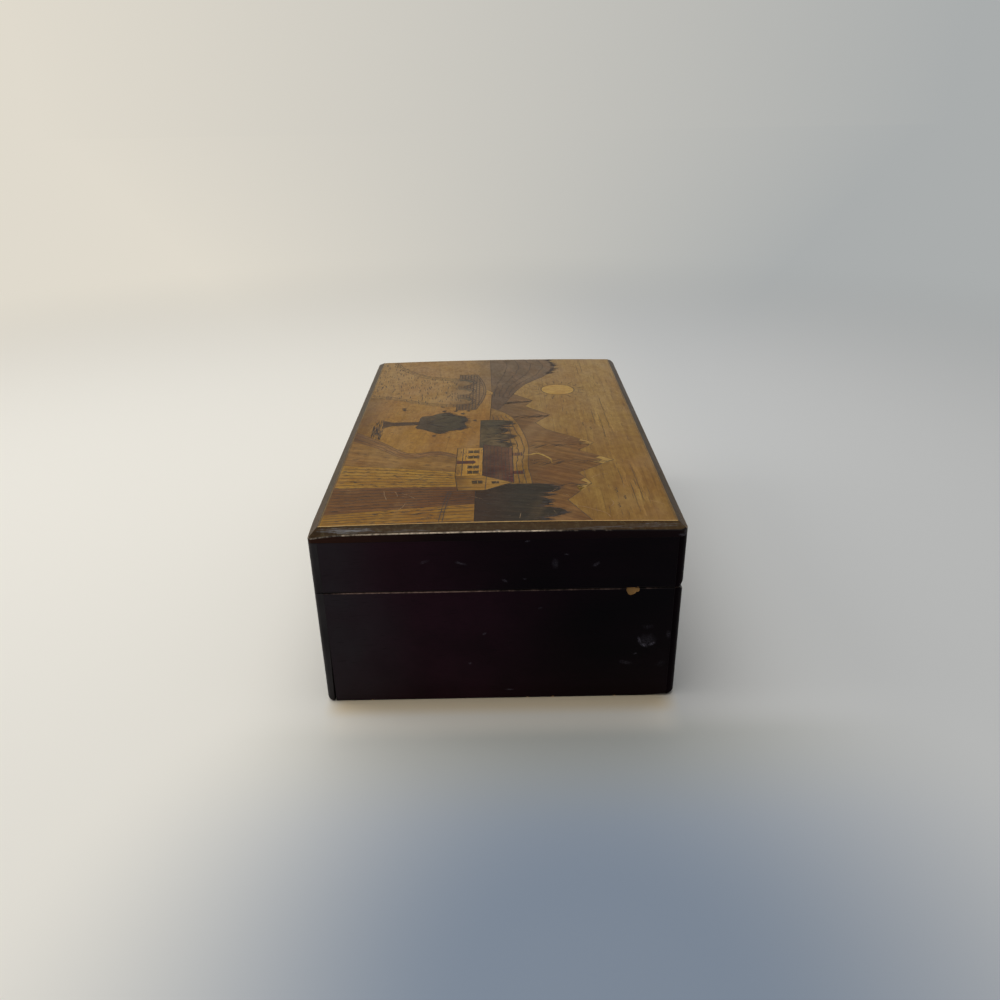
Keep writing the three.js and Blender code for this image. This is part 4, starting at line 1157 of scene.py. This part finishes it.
def build_picture():
    """Everything thin that lies on the veneers."""
    under = find_veneers()
    lines = Layer(LINE_LIFT, under, 2)
    dark, red, snow, clouds = (Layer(INLAY_LIFT, under, seed) for seed in (5, 7, 8, 9))
    pale = Layer(PALE_INLAY_LIFT, under, 6)
    engrave_land(lines)
    engrave_mountains(lines, snow)
    engrave_trees(lines)
    engrave_bridge(lines, dark)
    engrave_house(lines, dark, pale, red)
    engrave_sky(lines, clouds)
    glue_lines(under).finish("glue_lines", ink("glue", "342010", "1c1008"), "walnut_veneer")
    lines.finish("engraved_lines", ink("engraving_filler", "3c2612", "1e1108"), "walnut_veneer")
    for layer, name, slot, wood in (
        (dark, "dark_inlays", "rosewood_veneer", ("dark_inlay", "2e2219", "1c140f", 90, 31, 2, 0.8, 0.3)),
        (red, "red_inlays", "rosewood_veneer", ("red_inlay", "5e2f22", "431f17", 90, 33, 2, 0.8, 0.3)),
        (pale, "pale_inlays", "boxwood_veneer", ("pale_inlay", "a78a46", "94753a", 0, 32, 2, 0.7, 0.1)),
        (clouds, "clouds", "boxwood_veneer", ("cloud_inlay", "9e7f42", "8a6a34", 0, 35, 2, 0.8, 0.1)),
        (snow, "snow_caps", "boxwood_veneer", ("snow_cap", "aa8c4c", "907238", 70, 34, 2, 0.7, 0.1)),
    ):
        layer.finish(name, veneer(*wood), slot)
    scratched = ink("scratched_lacquer", "a88a60", "7d6040")
    scratch_picture(under).finish("lacquer_scratches", scratched, "honey_veneer")


# Inside: velvet over card linings and over two pads

PAD_STEP = 3.0
PAD_ROLL = 14  # how far from its rim a pad is fully swollen
CLOTH_FRAMES = 16
WINE = ("330b12", "6a1b26")


def build_lining(side, cloth):
    """A card lining with its cloth turned over the top edge."""
    def wear(point, _, length):
        return 1.0 if point.z > RIM - 4 and length > 20 else 0.0

    node = f"lining_{side}"
    softened(node, f"velvet_{node}", [cloth, cloth], "base", wear, lambda *_: 0)


def build_pad(node, name, cloth, facing):
    """A thin stuffed pad: its glued face stays flat and the other swells and puckers a little."""
    low, high = (Vector(c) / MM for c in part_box(node))
    seat, crown = (low.z, high.z) if facing > 0 else (high.z, low.z)
    half = Vector(((high.x - low.x) / 2, (high.y - low.y) / 2))
    count_x, count_y = (round(2 * h / PAD_STEP) for h in half)
    bm = bmesh.new()
    rows = []
    for i in range(count_x + 1):
        row = []
        for j in range(count_y + 1):
            x, y = half.x * (2 * i / count_x - 1), half.y * (2 * j / count_y - 1)
            rim = min(half.x - abs(x), half.y - abs(y))
            swell = 1 - (1 - min(1, rim / PAD_ROLL)) ** 2.2
            pucker = 0.1 * noise.noise(Vector((x * 0.24, y * 0.24, seat))) * max(0, 1 - rim / (PAD_ROLL + 2))
            z = seat + (crown - seat) * (0.3 + 0.58 * swell + pucker)
            row.append(bm.verts.new(Vector((x, y, z)) * MM))
        rows.append(row)
    for a, b in zip(rows, rows[1:]):
        for k in range(count_y):
            quad = (a[k], b[k], b[k + 1], a[k + 1])
            bm.faces.new(quad if facing > 0 else quad[::-1])
    base = [[bm.verts.new((v.co.x, v.co.y, seat * MM)) for v in row] for row in rows]
    for a, b in zip(base, base[1:]):
        for k in range(count_y):
            bm.faces.new((a[k], a[k + 1], b[k + 1], b[k]))
    loop = [(i, 0) for i in range(count_x)] + [(count_x, j) for j in range(count_y)]
    loop += [(i, count_y) for i in range(count_x, 0, -1)] + [(0, j) for j in range(count_y, 0, -1)]
    for (i, j), (k, l) in zip(loop, loop[1:] + loop[:1]):
        bm.faces.new((rows[i][j], rows[k][l], base[k][l], base[i][j]))
    bmesh.ops.recalc_face_normals(bm, faces=bm.faces)
    piece = make_piece(name, bm, [cloth], "base" if facing > 0 else "lid")
    swell_pad(piece, seat, crown)
    smooth = piece.modifiers.new("smooth", "SUBSURF")
    smooth.levels = smooth.render_levels = 1
    apply_modifiers(piece)
    for v in piece.data.vertices:
        v.co.z = max(min(v.co.z / MM, max(seat, crown) - 0.05), min(seat, crown)) * MM
    for polygon in piece.data.polygons:
        polygon.use_smooth = True
    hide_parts(node)


def swell_pad(piece, seat, crown):
    """Runs a short cloth simulation, and lets each point move by up to its share of the pad's crown."""
    group = piece.vertex_groups.new(name="glued")
    fixed = [v.index for v in piece.data.vertices if abs(v.co.z / MM - seat) < abs(crown - seat) * 0.5]
    group.add(fixed, 1.0, "REPLACE")
    start = [v.co.copy() for v in piece.data.vertices]
    cloth = piece.modifiers.new("cloth", "CLOTH")
    for key, value in {
        "quality": 5, "mass": 0.05, "tension_stiffness": 12, "compression_stiffness": 12,
        "shear_stiffness": 5, "bending_stiffness": 0.02, "use_pressure": True, "uniform_pressure_force": 40,
        "shrink_min": -0.035, "vertex_group_mass": group.name,
    }.items():
        setattr(cloth.settings, key, value)
    cloth.settings.effector_weights.gravity = 0
    cloth.collision_settings.use_collision = False
    cloth.point_cache.frame_start, cloth.point_cache.frame_end = 1, CLOTH_FRAMES
    scene = bpy.context.scene
    for number in range(1, CLOTH_FRAMES + 1):
        scene.frame_set(number)
    apply_modifiers(piece)
    scene.frame_set(1)
    piece.vertex_groups.clear()
    most = Vector((0.2, 0.2, abs(crown - seat) * 0.22)) * MM
    for v, place in zip(piece.data.vertices, start):
        v.co = place + Vector([max(-m, min(m, d)) for d, m in zip(v.co - place, most)])


# Stage

FLOOR_HALF = 6  # metres
FLOOR_FADE = (0.3, 0.9)  # metres from the middle, over which the floor turns into the surround
COOL_SPOT, COOL_SIZE = (215, 24, 0), (130, 130, 1000)  # the cool shade before the right-hand end
WORLD_LIGHT = (-0.65, -0.42, 0.62)
LAMPS = {  # place, size, power, colour
    "overhead": ((-150, -120, 850), 800, 4.2, "fffaf0"),
    "left": ((-50, -800, 500), 500, 1.6, "fffaf2"),
}


def make_floor():
    bm = bmesh.new()
    bmesh.ops.create_grid(bm, x_segments=1, y_segments=1, size=FLOOR_HALF)
    shader = Shader("floor")
    floor = meshed("floor", bm, [shader.material])
    x, y = shader.along(0), shader.along(1)
    # Painted shade: the floor darker and bluer towards the back
    shader.start(shader.times(shader.between(y, -110, 160), 0.5), "f0efeb", "a9b3c3")
    shade = shader.between(shader.reach(COOL_SPOT, COOL_SIZE), 1.32, 0.22)
    shade = shader.times(shade, shader.between(x, 104, 122))
    shader.tint(shade, shader.mix(shader.between(x, 105, 165), "93988f", "8695ab"))
    # Painted light, and a warm painted reflection of the box, on the floor just before the right-hand end
    within_end = shader.between(shader.math("ABSOLUTE", y), HALF_WIDTH + 2, HALF_WIDTH - 8)
    before_end = shader.times(within_end, shader.between(x, HALF_LENGTH - 10, HALF_LENGTH - 2))
    for reach, share, colour in ((24, 0.6, "fff9ee"), (11, 1, "f4e4c8")):
        near = shader.between(x, HALF_LENGTH + reach, HALF_LENGTH + reach * 0.3, 0, share)
        shader.tint(shader.times(near, before_end), colour)
    shader.finish(Roughness=0.55, Specular_IOR_Level=0.25)
    # Farther out the floor glows, unlit, in the surround's colour: a backdrop painted lighter towards the
    # front
    outward = shader.node("VectorMath", shader.place, operation="NORMALIZE").outputs[0]
    glow = shader.node("Emission", shader.surround(outward)).outputs[0]
    far = shader.between(shader.length(shader.place), *FLOOR_FADE)
    blend = shader.node("MixShader", far, shader.bsdf.outputs[0], glow)
    shader.feed(shader.output.inputs["Surface"], blend.outputs[0])


def make_world():
    """A surround that the camera sees as pale, and that lights the box more from the left, front and top."""
    world = bpy.data.worlds.new("surround")
    world.use_nodes = True
    sky = Nodes(world.node_tree)
    direction = sky.node("TexCoord").outputs["Generated"]
    light = Vector(WORLD_LIGHT).normalized()
    facing = sky.node("VectorMath", direction, light, operation="DOT_PRODUCT").outputs["Value"]
    strength = sky.between(facing, -0.6, 0.9, 0.05, 0.55, "LINEAR")
    lit = sky.node("Background", "f4f4f2", strength).outputs[0]
    seen = sky.node("Background", sky.surround(direction)).outputs[0]
    by_camera = sky.node("LightPath").outputs["Is Camera Ray"]
    pick = sky.node("MixShader", by_camera, lit, seen).outputs[0]
    sky.node("OutputWorld", pick)
    bpy.context.scene.world = world


def make_lights():
    for name, (place, size, power, colour) in LAMPS.items():
        data = bpy.data.lights.new(name, "AREA")
        data.size = size * MM
        data.energy = power
        data.color = srgb(colour)[:3]
        lamp = placed(name, data)
        lamp.location = Vector(place) * MM
        lamp.rotation_euler = (-lamp.location).to_track_quat("-Z", "Y").to_euler()


def make_camera():
    forward = Vector((-math.cos(CAMERA_PITCH), 0, -math.sin(CAMERA_PITCH)))
    level = Vector((0, 1, 0))
    upward = level.cross(forward)
    right = math.cos(CAMERA_ROLL) * level + math.sin(CAMERA_ROLL) * upward
    up = -math.sin(CAMERA_ROLL) * level + math.cos(CAMERA_ROLL) * upward
    data = bpy.data.cameras.new("camera")
    data.sensor_width = SENSOR
    data.lens = FOCAL_PIXELS / PICTURE_PIXELS * SENSOR
    data.clip_start = 0.01
    camera = placed("camera", data)
    axes = Matrix((right, up, -forward)).transposed().to_4x4()
    camera.matrix_world = Matrix.Translation(Vector(CAMERA_PLACE) * MM) @ axes
    bpy.context.scene.camera = camera
    bpy.context.scene.view_settings.view_transform = "Standard"


make_camera()
make_floor()
make_world()
make_lights()
build_boards()
dress_nodes()
build_picture()
velvet_cloth = velvet("wine_velvet", *WINE)
for side in SIDES:
    build_lining(side, velvet_cloth)
build_pad("floor_pad", "velvet_floor_pad", velvet("wine_velvet_floor", *WINE, 4), 1)
build_pad("lid_pad", "velvet_lid_pad", velvet("wine_velvet_lid", *WINE, 7), -1)
